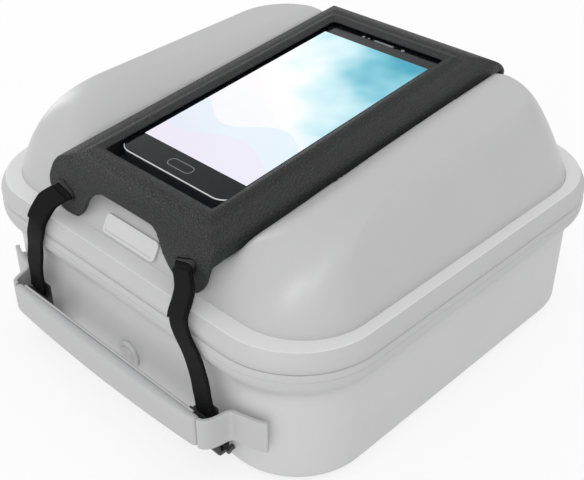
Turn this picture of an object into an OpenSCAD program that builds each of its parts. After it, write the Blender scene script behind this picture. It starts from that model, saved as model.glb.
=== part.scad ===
// Semi-rigid clamshell tank bag with a strapped-on phone pouch.
// Millimetres. X across the tank, +Y away from the rider, +Z up.
// The origin is the centre of the tank ring's mouth, on the underside.

/* [Tub] */
// Width of the tub across the tank
tub_w = 202; // [180:1:230]
// Length of the tub along the tank
tub_l = 201; // [185:1:230]
// Radius of the upright corners
corner_r = 34; // [30:0.5:40]
// Thickness of the moulded walls
wall = 2.4; // [1.8:0.1:3]
// Radius of the rounded bottom edge
bottom_r = 4; // [3:0.5:8]
// Height of the zip line above the underside
zip_z = 61.5; // [58:0.5:70]
// Thickness of the non-slip sheet under the floor
pad_t = 1.6; // [1:0.1:2.5]
// Thickness of the stiffener board inside
board_t = 2; // [1.5:0.1:3]

/* [Rims] */
// How far the rims stand out of the tub wall
rim_out = 5.8; // [5:0.1:8]
// Height of the tub's rim band
rim_drop = 16.2; // [12:0.1:20]
// Height of the lid's rim band, from the groove to the ledge
rim_rise = 7.2; // [6:0.1:10]
// Height of the groove that hides the zip
groove_h = 2.6; // [2.2:0.1:3.4]
// How far the ledge's edge stands out of the tub wall
ledge_out = 2.8; // [2.2:0.1:4]
// Width of the ledge along the sides
ledge_side = 5; // [4:0.1:7]
// Width of the ledge at the front and the far end
ledge_end = 7.8; // [6:0.1:10]

/* [Lid] */
// Height of the lid's shoulders above the ledge, at the middle
lid_h = 36; // [32:0.5:40]
// Slope of the shoulders, rising away from the rider
lid_slope = 2.8; // [1:0.1:5]
// Lean of the lid's sides, inwards up to the shoulders
lean_side = 10; // [7:0.5:13]
// Lean of the lid's front
lean_front = 14; // [11:0.5:16]
// Lean of the lid's far end
lean_far = 15; // [12:0.5:17]
// Reach of the shoulder rounding on the sides
round_side = 7; // [4:0.5:10]
// Reach of the shoulder rounding at the front
round_front = 42; // [30:1:46]
// Reach of the shoulder rounding at the far end
round_far = 5.5; // [4:0.5:8]
// Corner radius of the shoulders at the front
shoulder_r_front = 12; // [10:1:18]
// Corner radius of the shoulders at the far end
shoulder_r_far = 31; // [26:1:34]
// Room between the pouch cover and the channel's sides
channel_room = 1.5; // [1:0.1:3]
// Reach of the channel's sloping sides for the depth of its floor
channel_bank = 10; // [6:0.5:14]

/* [Phone] */
// Width of the phone
phone_w = 70; // [64:0.5:74]
// Length of the phone
phone_l = 142; // [134:0.5:144]
// Thickness of the phone
phone_t = 7; // [6:0.1:8.5]
// Corner radius of the phone
phone_r = 9; // [5:0.5:14]
// Thickness of the cover glass
glass_t = 0.9; // [0.6:0.1:1.2]

/* [Pouch] */
// Height of the phone's glass at its middle
view_z = 104; // [102:0.5:110]
// Slope of the pouch, rising away from the rider
view_slope = 6.3; // [4:0.1:8]
// How far the phone's middle lies towards the rider
view_back = 1.6; // [0:0.1:4]
// Outer width of the pouch cover
cover_w = 101; // [98:0.5:106]
// Width of the window
window_w = 66.6; // [60:0.2:68]
// Distance from the phone's middle to the window's near edge
window_near = 77; // [74:0.5:78]
// Distance from the phone's middle to the window's far edge
window_far = 65; // [58:0.5:68]
// Height of the ridge round the window above the glass
ridge_h = 2.5; // [1.8:0.1:3.5]
// Thickness of the window's lip
lip_t = 0.8; // [0.6:0.1:1]
// Thickness of the cover
cover_t = 2.2; // [1.6:0.1:2.6]
// How deep the cover's side walls reach below the glass
skirt_h = 8; // [6:0.1:9]
// Thickness of the tray's floor and walls
tray_t = 1.6; // [1.2:0.1:2]
// Reach of the ears below the glass
ear_drop = 22; // [20:0.5:24]
// Thickness of the window film
film_t = 0.5; // [0.3:0.1:0.6]

/* [Straps] */
// Width of the webbing
strap_w = 10; // [9:0.5:14]
// Thickness of the webbing
strap_t = 1.6; // [1.2:0.1:2]
// Distance of each strap slot from the cover's side
slot_inset = 12.5; // [11:0.5:14]
// Depth of each strap slot below the glass
slot_drop = 10.6; // [9:0.2:12]
// Distance of each strap hook from the tub's side wall
hook_inset = 45; // [42:0.5:48]
// Width of the strap hooks
hook_w = 14.5; // [13.5:0.5:20]
// Thickness of the strap hooks
hook_t = 4.2; // [3.8:0.1:4.6]
// Height of the anchor loops above the floor
anchor_rise = 8; // [7:0.5:10]
// Height of the strap hooks' top edge
hook_top = 33.5; // [30:0.5:40]
// Diameter of the anchor loops' wire
wire_d = 2.4; // [2:0.1:2.8]

/* [Handle] */
// Distance of the grip's ends from the tub's side walls
grip_inset = 40; // [38:0.5:43]
// Height of the grip
grip_h = 15.6; // [14:0.2:18]
// Thickness of the grip
grip_t = 5; // [4:0.2:6]
// Height of the grip's middle above the underside
grip_z = 25; // [23:0.5:30]
// Finger gap between the tub wall and the grip
grip_gap = 12; // [11.5:0.5:15]
// Height of the handle's webbing
band_h = 15; // [12:0.5:17]
// Thickness of the handle's webbing and its tabs
band_t = 2; // [1.6:0.1:2.6]

/* [Tank ring] */
// Outer diameter of the ring
ring_d = 132; // [124:1:140]
// Diameter of the ring's bore
ring_bore = 104; // [96:1:108]
// Height of the ring
ring_h = 9.5; // [8:0.5:11]
// Height of the bore's wall below the latch groove
bore_h = 6; // [5:0.5:7]
// Diameter of the ring's screws
screw_d = 4; // [3:0.5:5]

/* [Zip and hinge] */
// Width of the zip tapes
tape_t = 0.8; // [0.6:0.1:1]
// Thickness of the zip coil
coil_t = 2.5; // [2:0.1:3]
// Length of a zip slider
slider_l = 10; // [8:0.5:12]
// Length of a zip pull
pull_l = 26; // [20:1:32]
// Diameter of a zip pull's pin
pin_d = 1.6; // [1.4:0.1:2]
// Length of the fabric hinge
hinge_l = 76; // [60:1:80]
// Diameter of the hinge's roll
roll_d = 2.4; // [2:0.1:2.6]

/* [Small parts] */
// Width of the bare plate on the lid's front
badge_w = 33; // [24:1:36]
// Height of the bare plate
badge_h = 8.5; // [6:0.5:9]
// Thickness of the bare plate
badge_t = 1.2; // [0.8:0.1:1.6]
// Diameter of the cable port's flange
port_d = 13; // [11:0.5:15]
// Height of the cable port's middle above the underside
port_z = 18.7; // [17:0.1:24]

/* [Clearances] */
// Glue line between bonded pieces
bond = 0.1; // [0.05:0.01:0.15]
// Room round pieces that move or lie loose
play = 0.3; // [0.2:0.05:0.4]
// Radial room round the pins
pin_play = 0.05; // [0.02:0.01:0.09]

/* [Hidden] */
$fn = 64;

shell_grey = [0.76, 0.76, 0.76];
rim_grey = [0.70, 0.70, 0.70];
ledge_grey = [0.80, 0.80, 0.80];
soft_black = [0.13, 0.13, 0.14];
webbing_black = [0.07, 0.07, 0.08];
steel = [0.72, 0.73, 0.75];

// Heights that the pieces share
floor_z = pad_t + bond;
groove_low = zip_z - groove_h / 2;
groove_high = zip_z + groove_h / 2;
ledge_z = groove_high + rim_rise;
tub_top = groove_low + 0.7;
roof_z = ring_h + bond;
well_r = ring_d / 2 + play;
half_w = tub_w / 2;
half_l = tub_l / 2;

// The dome's foot, inside the ledge
foot_w = tub_w + 2 * (ledge_out - ledge_side);
foot_l = tub_l + 2 * (ledge_out - ledge_end);
foot_r = corner_r - 2.5;
skirt_z = groove_high + play;

// The pouch's floor plane, in the frame of the phone's glass
tray_low = phone_t + play + tray_t;
channel_drop = tray_low + play;

// The pouch cover, in the same frame: its end flaps hang beside the dome's foot
drape_near = 1.8;
drape_far = 5;
bend_drop = 11;
ridge_w = 3.2;
notch_drop = 4.6;
ear_half = 7;
ear_fillet = 14;
cover_x = cover_w / 2;
slot_x = cover_x - slot_inset;
window_x = window_w / 2;
under = film_t + 2 * bond;
tray_x = phone_w / 2 + play + 0.3;
reach_near = foot_l / 2 + drape_near - window_near;
reach_far = foot_l / 2 - drape_far - window_far;
slot_l = strap_w + 1.6;
slot_h = 3 * strap_t - 0.2;

// Fullness of the lid's rounded shoulders
pull = 0.7;

// Number of points on a corner and on an end of the lid's rings
corner_steps = 10;
edge_steps = 14;

// Fore and aft walls that the straps pass
rim_y = half_l + rim_out;
hook_x = half_w - hook_inset;
lip_t_hook = 1.3;
anchor_y = half_l + 2 * play + lip_t_hook + wire_d / 2;
hook_y = anchor_y + wire_d / 2 + play;
anchor_z = floor_z + anchor_rise;

pocket_h = 8;
pocket_t = strap_t + 2 * play;
strap_end_y = hook_y + hook_t / 2;
strap_end_z = hook_top - pocket_h + 3;

// How far the straps stand off the ledge, the rims and the tub
off_ledge = 4.5;
off_rim = 2.4;
off_dome = 8.5;

// The carry handle: its inner face, and the angles of its tabs on the corners
grip_l = tub_w - 2 * grip_inset;
grip_y = half_l + grip_gap;
tab_from = -88;
tab_to = -66;
tab_in = 1;

// Hinge axis of the lid
hinge_y = rim_y + 1.1;

// Zip on the hidden side
coil_in = tape_t + 2 * bond;
slider_x = half_w + rim_out + play;
slider_t = 2.6;
lug_t = 1.4;
lug_reach = 3;
pull_w = 7;
pull_t = 1.8;
pull_x = slider_x + slider_t + lug_reach / 2;
slider_rest = slider_l / 2 + 3;

function arc(c, r, a0, a1, n) =
    [for (i = [0:n]) let(a = a0 + (a1 - a0) * i / n) [c[0] + r * cos(a), c[1] + r * sin(a)]];
function mix(a, b, t) = a + (b - a) * t;
function smooth(t) = let(u = max(0, min(1, t))) u * u * (3 - 2 * u);
function bezier(p, n) = [for (i = [0:n]) let(t = i / n, s = 1 - t)
    s * s * s * p[0] + 3 * s * s * t * p[1] + 3 * s * t * t * p[2] + t * t * t * p[3]];
function reversed(list) = [for (i = [len(list) - 1:-1:0]) list[i]];

// Smooth curve through a list of points
function spline_point(p, i, t) =
    let(a = p[max(i - 1, 0)], b = p[i], c = p[i + 1], d = p[min(i + 2, len(p) - 1)])
    0.5 * (2 * b + (c - a) * t + (2 * a - 5 * b + 4 * c - d) * t * t + (3 * b - a - 3 * c + d) * t * t * t);
function spline(p, n) =
    [for (i = [0:len(p) - 2], k = [0:n - 1]) spline_point(p, i, k / n), p[len(p) - 1]];
function across(p, i) =
    let(d = p[min(i + 1, len(p) - 1)] - p[max(i - 1, 0)]) [-d[1], d[0]] / norm(d);
function band(p, t) = concat(
    [for (i = [0:len(p) - 1]) p[i] + across(p, i) * t / 2],
    reversed([for (i = [0:len(p) - 1]) p[i] - across(p, i) * t / 2]));

module rounded_rect(w, l, r) {
    square([w - 2 * r, l], center = true);
    square([w, l - 2 * r], center = true);
    for (x = [-1, 1], y = [-1, 1]) translate([x * (w / 2 - r), y * (l / 2 - r)]) circle(r);
}

// Sweeps a profile round the tub wall: X is outwards from the wall, Y is up.
// Side k faces +X, +Y, -X and -Y in turn, and corner k follows side k.
module around(sides = [0:3], corners = [0:3]) {
    size = [tub_w, tub_l];
    for (k = sides) {
        run = size[(k + 1) % 2] - 2 * corner_r;
        rotate(90 * k) translate([size[k % 2] / 2, run / 2, 0]) rotate([90, 0, 0]) linear_extrude(run) children();
    }
    for (k = corners)
        translate([(k == 0 || k == 3 ? 1 : -1) * (half_w - corner_r), (k < 2 ? 1 : -1) * (half_l - corner_r), 0])
            rotate(90 * k) rotate_extrude(angle = 90) translate([corner_r, 0]) children();
}
module around_zip() {
    around([2:4], [2:3]) children();
}

// Extrudes a profile drawn in Y and Z along X, about the middle
module along_x(length) {
    rotate([90, 0, 90]) linear_extrude(length, center = true) children();
}
// Extrudes a profile drawn in X and Z along Y
module along_y(y0, y1) {
    translate([0, y1, 0]) rotate([90, 0, 0]) linear_extrude(y1 - y0) children();
}
module both_sides() {
    children();
    mirror([1, 0, 0]) children();
}
// Places the pouch and the phone: the phone's glass is the plane z = 0
module at_view() {
    translate([0, -view_back, view_z]) rotate([view_slope, 0, 0]) children();
}
function view_point(p) = [
    -view_back + p[0] * cos(view_slope) - p[1] * sin(view_slope),
    view_z + p[0] * sin(view_slope) + p[1] * cos(view_slope)];
// Middle of the strap slots, and the angle at which a strap spreads on its way to the hook
front_slot = view_point([cover_t / 2 - window_near - reach_near, -slot_drop]);
rear_slot = view_point([window_far + reach_far - cover_t / 2, -slot_drop]);
function splay(slot) = atan((hook_x - slot_x) / (slot[1] - hook_top + pocket_h));

// Tub

module base_shell() {
    wall_centre = [-bottom_r, floor_z + bottom_r];
    lap = 1;
    color(shell_grey) {
        around() polygon(concat(
            [[-bottom_r - lap, floor_z]], arc(wall_centre, bottom_r, -90, 0, 12),
            [[0, tub_top], [-wall, tub_top]], arc(wall_centre, bottom_r - wall, 0, -90, 12),
            [[-bottom_r - lap, floor_z + wall]]));
        translate([0, 0, floor_z]) linear_extrude(wall) difference() {
            rounded_rect(tub_w - 2 * bottom_r, tub_l - 2 * bottom_r, corner_r - bottom_r);
            circle(well_r + wall / 2);
        }
        difference() {
            rotate_extrude() polygon([
                [well_r, floor_z], [well_r + wall, floor_z], [well_r + wall, roof_z + wall],
                [0, roof_z + wall], [0, roof_z], [well_r, roof_z]]);
            screw_places() cylinder(d = screw_d + play, h = roof_z + 2 * wall);
        }
    }
}

module screw_places() {
    for (a = [45:90:315]) rotate(a) translate([(ring_d + ring_bore) / 4, 0, 0]) children();
}

module base_plate() {
    color(soft_black) translate([0, 0, floor_z + wall + bond]) linear_extrude(board_t) difference() {
        rounded_rect(tub_w - 2 * bottom_r, tub_l - 2 * bottom_r, corner_r - bottom_r);
        circle(well_r + wall + play);
    }
}

module base_pad() {
    color(soft_black) linear_extrude(pad_t) difference() {
        rounded_rect(tub_w - 2 * bottom_r, tub_l - 2 * bottom_r, corner_r - bottom_r);
        circle(well_r);
    }
}

module tank_ring() {
    latch = 3;
    bevel = 1;
    color(soft_black) difference() {
        rotate_extrude() polygon([
            [ring_bore / 2, 0], [ring_d / 2 - bevel, 0], [ring_d / 2, bevel], [ring_d / 2, ring_h],
            [ring_bore / 2 + latch, ring_h], [ring_bore / 2 + latch, bore_h], [ring_bore / 2, bore_h]]);
        translate([0, 0, ring_h / 3]) screw_places() cylinder(d = screw_d + 2 * pin_play, h = ring_h);
    }
}

module ring_screws() {
    head_h = 2.4;
    socket = screw_d * 0.6;
    color(steel) screw_places() {
        translate([0, 0, ring_h / 3 + bond]) cylinder(d = screw_d, h = roof_z + wall - ring_h / 3);
        translate([0, 0, roof_z + wall + bond]) difference() {
            cylinder(d = screw_d * 2, h = head_h);
            translate([0, 0, head_h / 2]) cylinder(d = socket, h = head_h, $fn = 6);
        }
    }
}

module base_rim() {
    inside = tape_t + 2 * bond;
    low = groove_low - rim_drop;
    swell = bezier([[inside + 0.5, low], [inside + 0.8, low + rim_drop * 0.45],
        [rim_out - 0.4, low + rim_drop * 0.5], [rim_out, low + rim_drop * 0.78]], 10);
    color(rim_grey) around() polygon(concat(
        [[inside, low]], swell, [[rim_out - 0.1, groove_low - 1], [rim_out - 0.9, groove_low], [inside, groove_low]]));
}

module zip_tape_lower() {
    color(webbing_black) around_zip() translate([bond, groove_low - rim_drop / 2])
        square([tape_t, rim_drop / 2 + groove_h / 2 - play / 2]);
}

module zip_coil_lower() {
    color(webbing_black) around_zip() coil_section(groove_low + bond, zip_z - play / 2);
}

module coil_section(z0, z1) {
    translate([coil_in, z0]) square([coil_t, z1 - z0]);
}

module hinge_roll() {
    flap_t = 0.8;
    flap_h = 7;
    color(webbing_black) {
        translate([0, hinge_y, zip_z]) rotate([0, 90, 0]) cylinder(d = roll_d, h = hinge_l, center = true);
        translate([-hinge_l / 2, rim_y + bond, zip_z - flap_h]) cube([hinge_l, flap_t, flap_h]);
    }
}

module hinge_leaf() {
    leaf_t = 0.8;
    leaf_h = 4.5;
    gap = roll_d / 2 + play;
    color(webbing_black) translate([-hinge_l / 2, rim_y + bond, zip_z + gap]) cube([hinge_l, leaf_t, leaf_h]);
}

module cable_port() {
    flange_t = 1.6;
    nose = 2.4;
    edge = 0.6;
    r = 1;
    color(shell_grey) translate([0, -half_l - bond, port_z]) rotate([90, 0, 0]) rotate_extrude()
        polygon(concat([[0, 0], [port_d / 2, 0], [port_d / 2, flange_t - edge], [port_d / 2 - edge, flange_t],
            [port_d / 3, flange_t]], arc([port_d / 3 - r, nose - r], r, 0, 90, 6), [[r, nose], [0, nose - r]]));
}

// Carry handle

module handle_tab() {
    color(webbing_black) translate([half_w - corner_r, -half_l + corner_r, grip_z - band_h / 2 + tab_in])
        rotate(tab_from) rotate_extrude(angle = tab_to - tab_from)
            translate([corner_r + bond, 0]) square([band_t, band_h - 2 * tab_in]);
}
module handle_tab_right() {
    handle_tab();
}
module handle_tab_left() {
    mirror([1, 0, 0]) handle_tab();
}

// The webbing leaves the tab along the corner and bows out to the grip's end
module handle_webbing() {
    centre = [half_w - corner_r, -half_l + corner_r];
    on_tab = corner_r + 3 * bond + 1.5 * band_t;
    out = grip_gap + grip_t / 2 + corner_r;
    end_y = -grip_y - grip_t / 2;
    spokes = [[on_tab, 0.5], [on_tab, 4], [on_tab, 8], [on_tab + 1, 11.5], [on_tab + 4.5, 16], [out - 1.6, 21.5]];
    route = spline(concat([for (p = spokes) centre + p[0] * [cos(tab_to - p[1]), sin(tab_to - p[1])]],
        [[grip_l / 2 + 2, end_y], [grip_l / 2 + play, end_y]]), 8);
    color(webbing_black) translate([0, 0, grip_z - band_h / 2]) linear_extrude(band_h) polygon(band(route, band_t));
}
module handle_webbing_right() {
    handle_webbing();
}
module handle_webbing_left() {
    mirror([1, 0, 0]) handle_webbing();
}

module handle_grip() {
    edge_r = 1.6;
    color(rim_grey) along_x(grip_l) translate([-grip_y - grip_t / 2, grip_z])
        rounded_rect(grip_t, grip_h, edge_r);
}

// Strap hardware

module anchor_loop() {
    reach = anchor_y - half_l - play;
    leg_x = hook_w / 2 + wire_d / 2 + play;
    translate([hook_x, -anchor_y, anchor_z]) {
        rotate([0, 90, 0]) cylinder(d = wire_d, h = 2 * leg_x + wire_d, center = true, $fn = 32);
        for (s = [-1, 1]) translate([s * leg_x, 0, 0]) rotate([-90, 0, 0]) cylinder(d = wire_d, h = reach, $fn = 32);
    }
}
module anchor_loops() {
    color(steel) both_sides() {
        anchor_loop();
        mirror([0, 1, 0]) anchor_loop();
    }
}

// Flat hook: a plate with a pocket for the webbing's end, and a lip that holds the wire
module strap_hook() {
    sole = 2.1;
    edge = 1;
    low = anchor_z - wire_d / 2 - play - sole;
    lip_in = half_l + play + lip_t_hook;
    lip_out = half_l + play;
    face = hook_y + hook_t;
    toe = hook_y + hook_t / 3;
    color(soft_black) translate([hook_x, 0, 0]) difference() {
        along_x(hook_w) polygon([
            [-toe, low + edge], [edge - toe, low], [-lip_out - edge, low], [-lip_out, low + edge],
            [-lip_out, anchor_z + edge], [-lip_in, anchor_z + edge], [-lip_in, low + sole], [-hook_y, low + sole],
            [-hook_y, hook_top], [edge - face, hook_top], [-face, hook_top - edge], [-face, mix(low, hook_top, 0.4)]]);
        translate([-hook_w, -strap_end_y - pocket_t / 2, hook_top - pocket_h]) cube([2 * hook_w, pocket_t, 2 * pocket_h]);
    }
}
module front_hook_right() {
    strap_hook();
}
module front_hook_left() {
    mirror([1, 0, 0]) strap_hook();
}
module rear_hooks() {
    both_sides() mirror([0, 1, 0]) strap_hook();
}

// Draws a strap in the leaning plane that passes through its slot.
// The route's points are Y and the height above the underside.
module strap(slot, route) {
    lean = cos(splay(slot));
    path = spline([for (p = route) [p[0], (p[1] - slot[1]) / lean]], 4);
    color(webbing_black) translate([slot_x, 0, slot[1]]) rotate([0, -splay(slot), 0])
        along_x(strap_w) polygon(band(path, strap_t));
}
// Loop of a strap through its slot, from the hidden tail to the front
function slot_loop(slot, way) =
    [for (p = [[-1.95, -2.7], [-2.05, -1.5], [-1, 0], [1, 0], [2.5, -1.6]]) slot + [way * p[0], p[1]] * strap_t];
// Lower run of a strap, from the rims to the hook's pocket
function rim_run(way) = [for (p = [[rim_y + off_rim * 0.7, ledge_z - 1], [rim_y + off_rim, zip_z],
    [rim_y + off_rim * 0.55, groove_low - rim_drop * 0.54], [strap_end_y + play, hook_top + strap_w * 0.4],
    [strap_end_y, hook_top], [strap_end_y, strap_end_z]]) [way * p[0], p[1]]];

module front_strap_right() {
    strap(front_slot, concat(slot_loop(front_slot, -1), [[ledge_out - 1 - rim_y, ledge_z + off_ledge]], rim_run(-1)));
}
module front_strap_left() {
    mirror([1, 0, 0]) front_strap_right();
}
module rear_strap_right() {
    strap(rear_slot, concat(slot_loop(rear_slot, 1),
        [[rear_slot[0] + off_dome, ledge_z + lid_h * 0.62], [rim_y - strap_t, ledge_z + 2 * off_ledge]], rim_run(1)));
}
module rear_strap_left() {
    mirror([1, 0, 0]) rear_strap_right();
}

// Lid

// Height of the lid's shoulders, and the curve of its front from the foot to the top
function shoulder_z(y) = ledge_z + lid_h + y * tan(lid_slope);
function bend(base, crease, flat) = [base, mix(base, crease, pull), mix(flat, crease, pull), flat];
function front_bend() = let(base = [-foot_l / 2, ledge_z], near = base[0] + lean_front, flat = near + round_front)
    bend(base, [near, shoulder_z(near)], [flat, shoulder_z(flat)]);

// One closed ring of points, anticlockwise from the far end of the +X side
function ring(hx, near, far, r_near, r_far) = concat(
    arc([hx - r_far, far - r_far], r_far, 0, 90, corner_steps),
    [for (i = [1:edge_steps - 1]) [mix(hx - r_far, r_far - hx, i / edge_steps), far]],
    arc([r_far - hx, far - r_far], r_far, 90, 180, corner_steps),
    arc([r_near - hx, r_near - near], r_near, 180, 270, corner_steps),
    [for (i = [1:edge_steps - 1]) [mix(r_near - hx, hx - r_near, i / edge_steps), -near]],
    arc([hx - r_near, r_near - near], r_near, 270, 360, corner_steps));
function lifted(points, z) = [for (p = points) [p[0], p[1], z]];
function on_top(points, drop) = [for (p = points) [p[0], p[1], shoulder_z(p[1]) - drop]];

// Rings of the lid's surface from its foot to its flat top, set in by t
function dome_rings(t, bottom, steps) =
    let(hx = foot_w / 2 - t, hy = foot_l / 2 - t, r = foot_r - t,
        sx = hx - lean_side, near = hy - lean_front, far = hy - lean_far,
        rn = shoulder_r_front - t, rf = shoulder_r_far - t, ease = 0.6 * round_side,
        foot = ring(hx, hy, hy, r, r),
        base = lifted(foot, ledge_z),
        crease = on_top(ring(sx, near, far, rn, rf), t),
        flat = on_top(ring(sx - round_side, near - round_front, far - round_far, rn - ease, rf - ease), t))
    concat([lifted(foot, bottom)], [for (k = [0:steps])
        [for (i = [0:len(foot) - 1]) bezier(bend(base[i], crease[i], flat[i]), steps)[k]]]);

module lofted(rings) {
    n = len(rings[0]);
    m = len(rings);
    points = [for (ring = rings, p = ring) p];
    faces = concat(
        [[for (i = [n - 1:-1:0]) i]],
        [for (k = [0:m - 2], i = [0:n - 1]) let(j = (i + 1) % n) each [
            [k * n + i, k * n + j, (k + 1) * n + j], [k * n + i, (k + 1) * n + j, (k + 1) * n + i]]],
        [[for (i = [0:n - 1]) (m - 1) * n + i]]);
    polyhedron(points, [for (f = faces) reversed(f)]);
}

// The channel that takes the pouch's tray, grown by t
module channel(t) {
    floor_x = cover_x + channel_room + t;
    top = channel_drop + lid_h;
    bank = channel_bank * (top + channel_drop) / channel_drop;
    at_view() along_y(-tub_l, tub_l) polygon([[-floor_x, -channel_drop - t], [floor_x, -channel_drop - t],
        [floor_x + bank, top - t], [-floor_x - bank, top - t]]);
}

module lid_shell() {
    color(shell_grey) difference() {
        lofted(dome_rings(0, skirt_z, 12));
        channel(0);
        difference() {
            lofted(dome_rings(wall, skirt_z - 1, 8));
            channel(wall);
        }
    }
}

module lid_rim() {
    ring_t = 3.5;
    inside = tape_t + 2 * bond;
    lap = 2;
    swell = bezier([[rim_out - 0.9, groove_high], [rim_out + 0.3, groove_high + rim_rise * 0.2],
        [rim_out - 0.2, groove_high + rim_rise * 0.75], [ledge_out, ledge_z]], 10);
    color(ledge_grey) {
        around() polygon(concat([[inside, groove_high]], swell, [[inside, ledge_z]]));
        translate([0, 0, ledge_z - ring_t]) linear_extrude(ring_t) difference() {
            rounded_rect(tub_w + 2 * (inside + lap), tub_l + 2 * (inside + lap), corner_r + inside + lap);
            rounded_rect(foot_w + 2 * bond, foot_l + 2 * bond, foot_r + bond);
        }
    }
}

module zip_tape_upper() {
    ring_t = 3.5;
    color(webbing_black) around_zip() translate([bond, zip_z + play / 2])
        square([tape_t, ledge_z - ring_t - bond - zip_z - play / 2]);
}

module zip_coil_upper() {
    color(webbing_black) around_zip() coil_section(zip_z + play / 2, groove_high - bond);
}

module badge_plate() {
    r = 1.5;
    middle = 2;
    front = bezier(front_bend(), 16);
    run = front[middle + 1] - front[middle - 1];
    color(ledge_grey) translate([0, front[middle][0], front[middle][1]]) rotate([atan2(run[1], run[0]), 0, 0])
        translate([0, 0, bond]) linear_extrude(badge_t) rounded_rect(badge_w, badge_h, r);
}

// Phone pouch, drawn in the frame of the phone's glass

// Half of the cover's section: lip, ridge, sloping border and side wall
function border_top() = [
    [window_x + ridge_w, ridge_h], [window_x + 2 * ridge_w, ridge_h - 0.4], [cover_x - 2, -0.9],
    [cover_x - 0.6, -1.8], [cover_x, -3]];

module side_rail() {
    rise = under + lip_t;
    polygon(concat([[window_x, under], [window_x, rise]], border_top(), [
        [cover_x, -skirt_h], [cover_x - 1.4, -skirt_h], [cover_x - 1.8, -3.4],
        [tray_x + tray_t + 1, under]]));
}

// Face of an end flap, seen from the front: the border's top, two ears and the notch between them
module flap_face() {
    half = concat(
        [[0, ridge_h + 1], [window_x, ridge_h + 1]], border_top(),
        bezier([[cover_x, 0.5 - 0.6 * bend_drop], [cover_x + 0.5, -bend_drop], [cover_x - 2, -ear_drop * 0.77],
            [slot_x + ear_half, 2 - ear_drop]], 6),
        bezier([[slot_x + 0.8 * ear_half, 0.6 - ear_drop], [slot_x + 0.4 * ear_half, -ear_drop],
            [slot_x - 0.3 * ear_half, -ear_drop], [slot_x - 0.9 * ear_half, 1 - ear_drop]], 5),
        bezier([[slot_x - 0.65 * ear_fillet, 3.5 - ear_drop], [slot_x - ear_fillet, 7.5 - ear_drop],
            [slot_x - ear_fillet, -1.3 * notch_drop], [slot_x - 1.6 * ear_fillet, -notch_drop - 0.2]], 8),
        [[0, -notch_drop]]);
    polygon(concat(half, reversed([for (p = half) if (p[0] > 0) [-p[0], p[1]]])));
}

// Top of an end flap, over the bend
function flap_bend(edge, reach) =
    bezier([[edge + 2.3 * ridge_w, ridge_h - 0.6], [edge + reach * 0.6, 0.9], [edge + reach - 1.6, -4.2],
        [edge + reach, -bend_drop]], 8);

// Section of an end flap, from the window over the bend and down to the ears
module flap_section(edge, reach) {
    rise = under + lip_t;
    inner = reach - cover_t;
    low = bezier([[edge + reach * 0.33, under], [edge + reach * 0.6 - cover_t, -0.9],
        [edge + inner - 1.6, -4.8], [edge + inner, -bend_drop]], 8);
    tip = 1.2;
    polygon(concat([[edge, under], [edge, rise], [edge + ridge_w, ridge_h]], flap_bend(edge, reach),
        [[edge + reach + tip, -ear_drop - 1], [edge + inner + tip, -ear_drop - 1]], reversed(low)));
}

// Two slots through an end flap, square to their straps
module ear_slots(slot, l, h) {
    for (s = [-1, 1]) translate([s * slot_x, 0, -slot_drop]) rotate([90, -s * splay(slot), 0])
        linear_extrude(4 * phone_l, center = true) rounded_rect(l, h, h / 2 - 0.01);
}

module end_flap(edge, reach, slot) {
    difference() {
        intersection() {
            along_x(cover_w + 4) flap_section(edge, reach);
            along_y(edge, edge + 2 * reach) flap_face();
        }
        ear_slots(slot, slot_l, slot_h);
    }
}

// Everything below the bend of an end flap
module under_bend(edge, reach) {
    polygon(concat([[-1, -skirt_h - 1], [-1, ridge_h + 1], [edge + ridge_w, ridge_h + 1], [edge + ridge_w, ridge_h]],
        flap_bend(edge, reach), [[edge + reach - 0.8, -skirt_h - 1]]));
}

module pouch_frame() {
    color(soft_black) {
        at_view() {
            both_sides() intersection() {
                along_y(-window_near - reach_near, window_far + reach_far) side_rail();
                along_x(2 * cover_w) {
                    under_bend(window_far, reach_far);
                    mirror([1, 0]) under_bend(window_near, reach_near);
                }
            }
            end_flap(window_far, reach_far, rear_slot);
            mirror([0, 1, 0]) end_flap(window_near, reach_near, front_slot);
        }
    }
}

module pouch_base() {
    near = window_near + 4;
    far = phone_l / 2 + play + tray_t + 0.3;
    color(soft_black) at_view() difference() {
        translate([-tray_x - tray_t, -near, -tray_low]) cube([2 * (tray_x + tray_t), near + far, tray_low + under - bond]);
        translate([-tray_x, -near + tray_t, tray_t - tray_low]) cube([2 * tray_x, near + far - 2 * tray_t, 2 * tray_low]);
    }
}

module window_film() {
    color([0.85, 0.9, 0.95, 0.3]) at_view() translate([-tray_x + bond, -window_near - 2, bond])
        cube([2 * (tray_x - bond), window_near + window_far + 5, film_t]);
}

module ear_eyelets() {
    color(steel) at_view() {
        eyelet_pair(window_far + reach_far, rear_slot);
        mirror([0, 1, 0]) eyelet_pair(window_near + reach_near, front_slot);
    }
}
// Rims that line the two slots of one flap
module eyelet_pair(face, slot) {
    rim = 0.4;
    proud = 0.5;
    difference() {
        intersection() {
            along_x(cover_w) translate([face - cover_t - proud, -slot_drop - slot_l / 2])
                square([cover_t + 2 * proud, slot_l]);
            ear_slots(slot, slot_l - 2 * bond, slot_h - 2 * bond);
        }
        ear_slots(slot, slot_l - 2 * rim, slot_h - 2 * rim);
    }
}

module phone_body() {
    color([0.1, 0.11, 0.13]) at_view() translate([0, 0, -phone_t])
        linear_extrude(phone_t - glass_t - bond) rounded_rect(phone_w, phone_l, phone_r);
}

module phone_glass() {
    color([0.55, 0.75, 0.85]) at_view() translate([0, 0, -glass_t]) linear_extrude(glass_t) rounded_rect(phone_w, phone_l, phone_r);
}

// Zip sliders and pulls, on the side that faces -X

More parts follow.
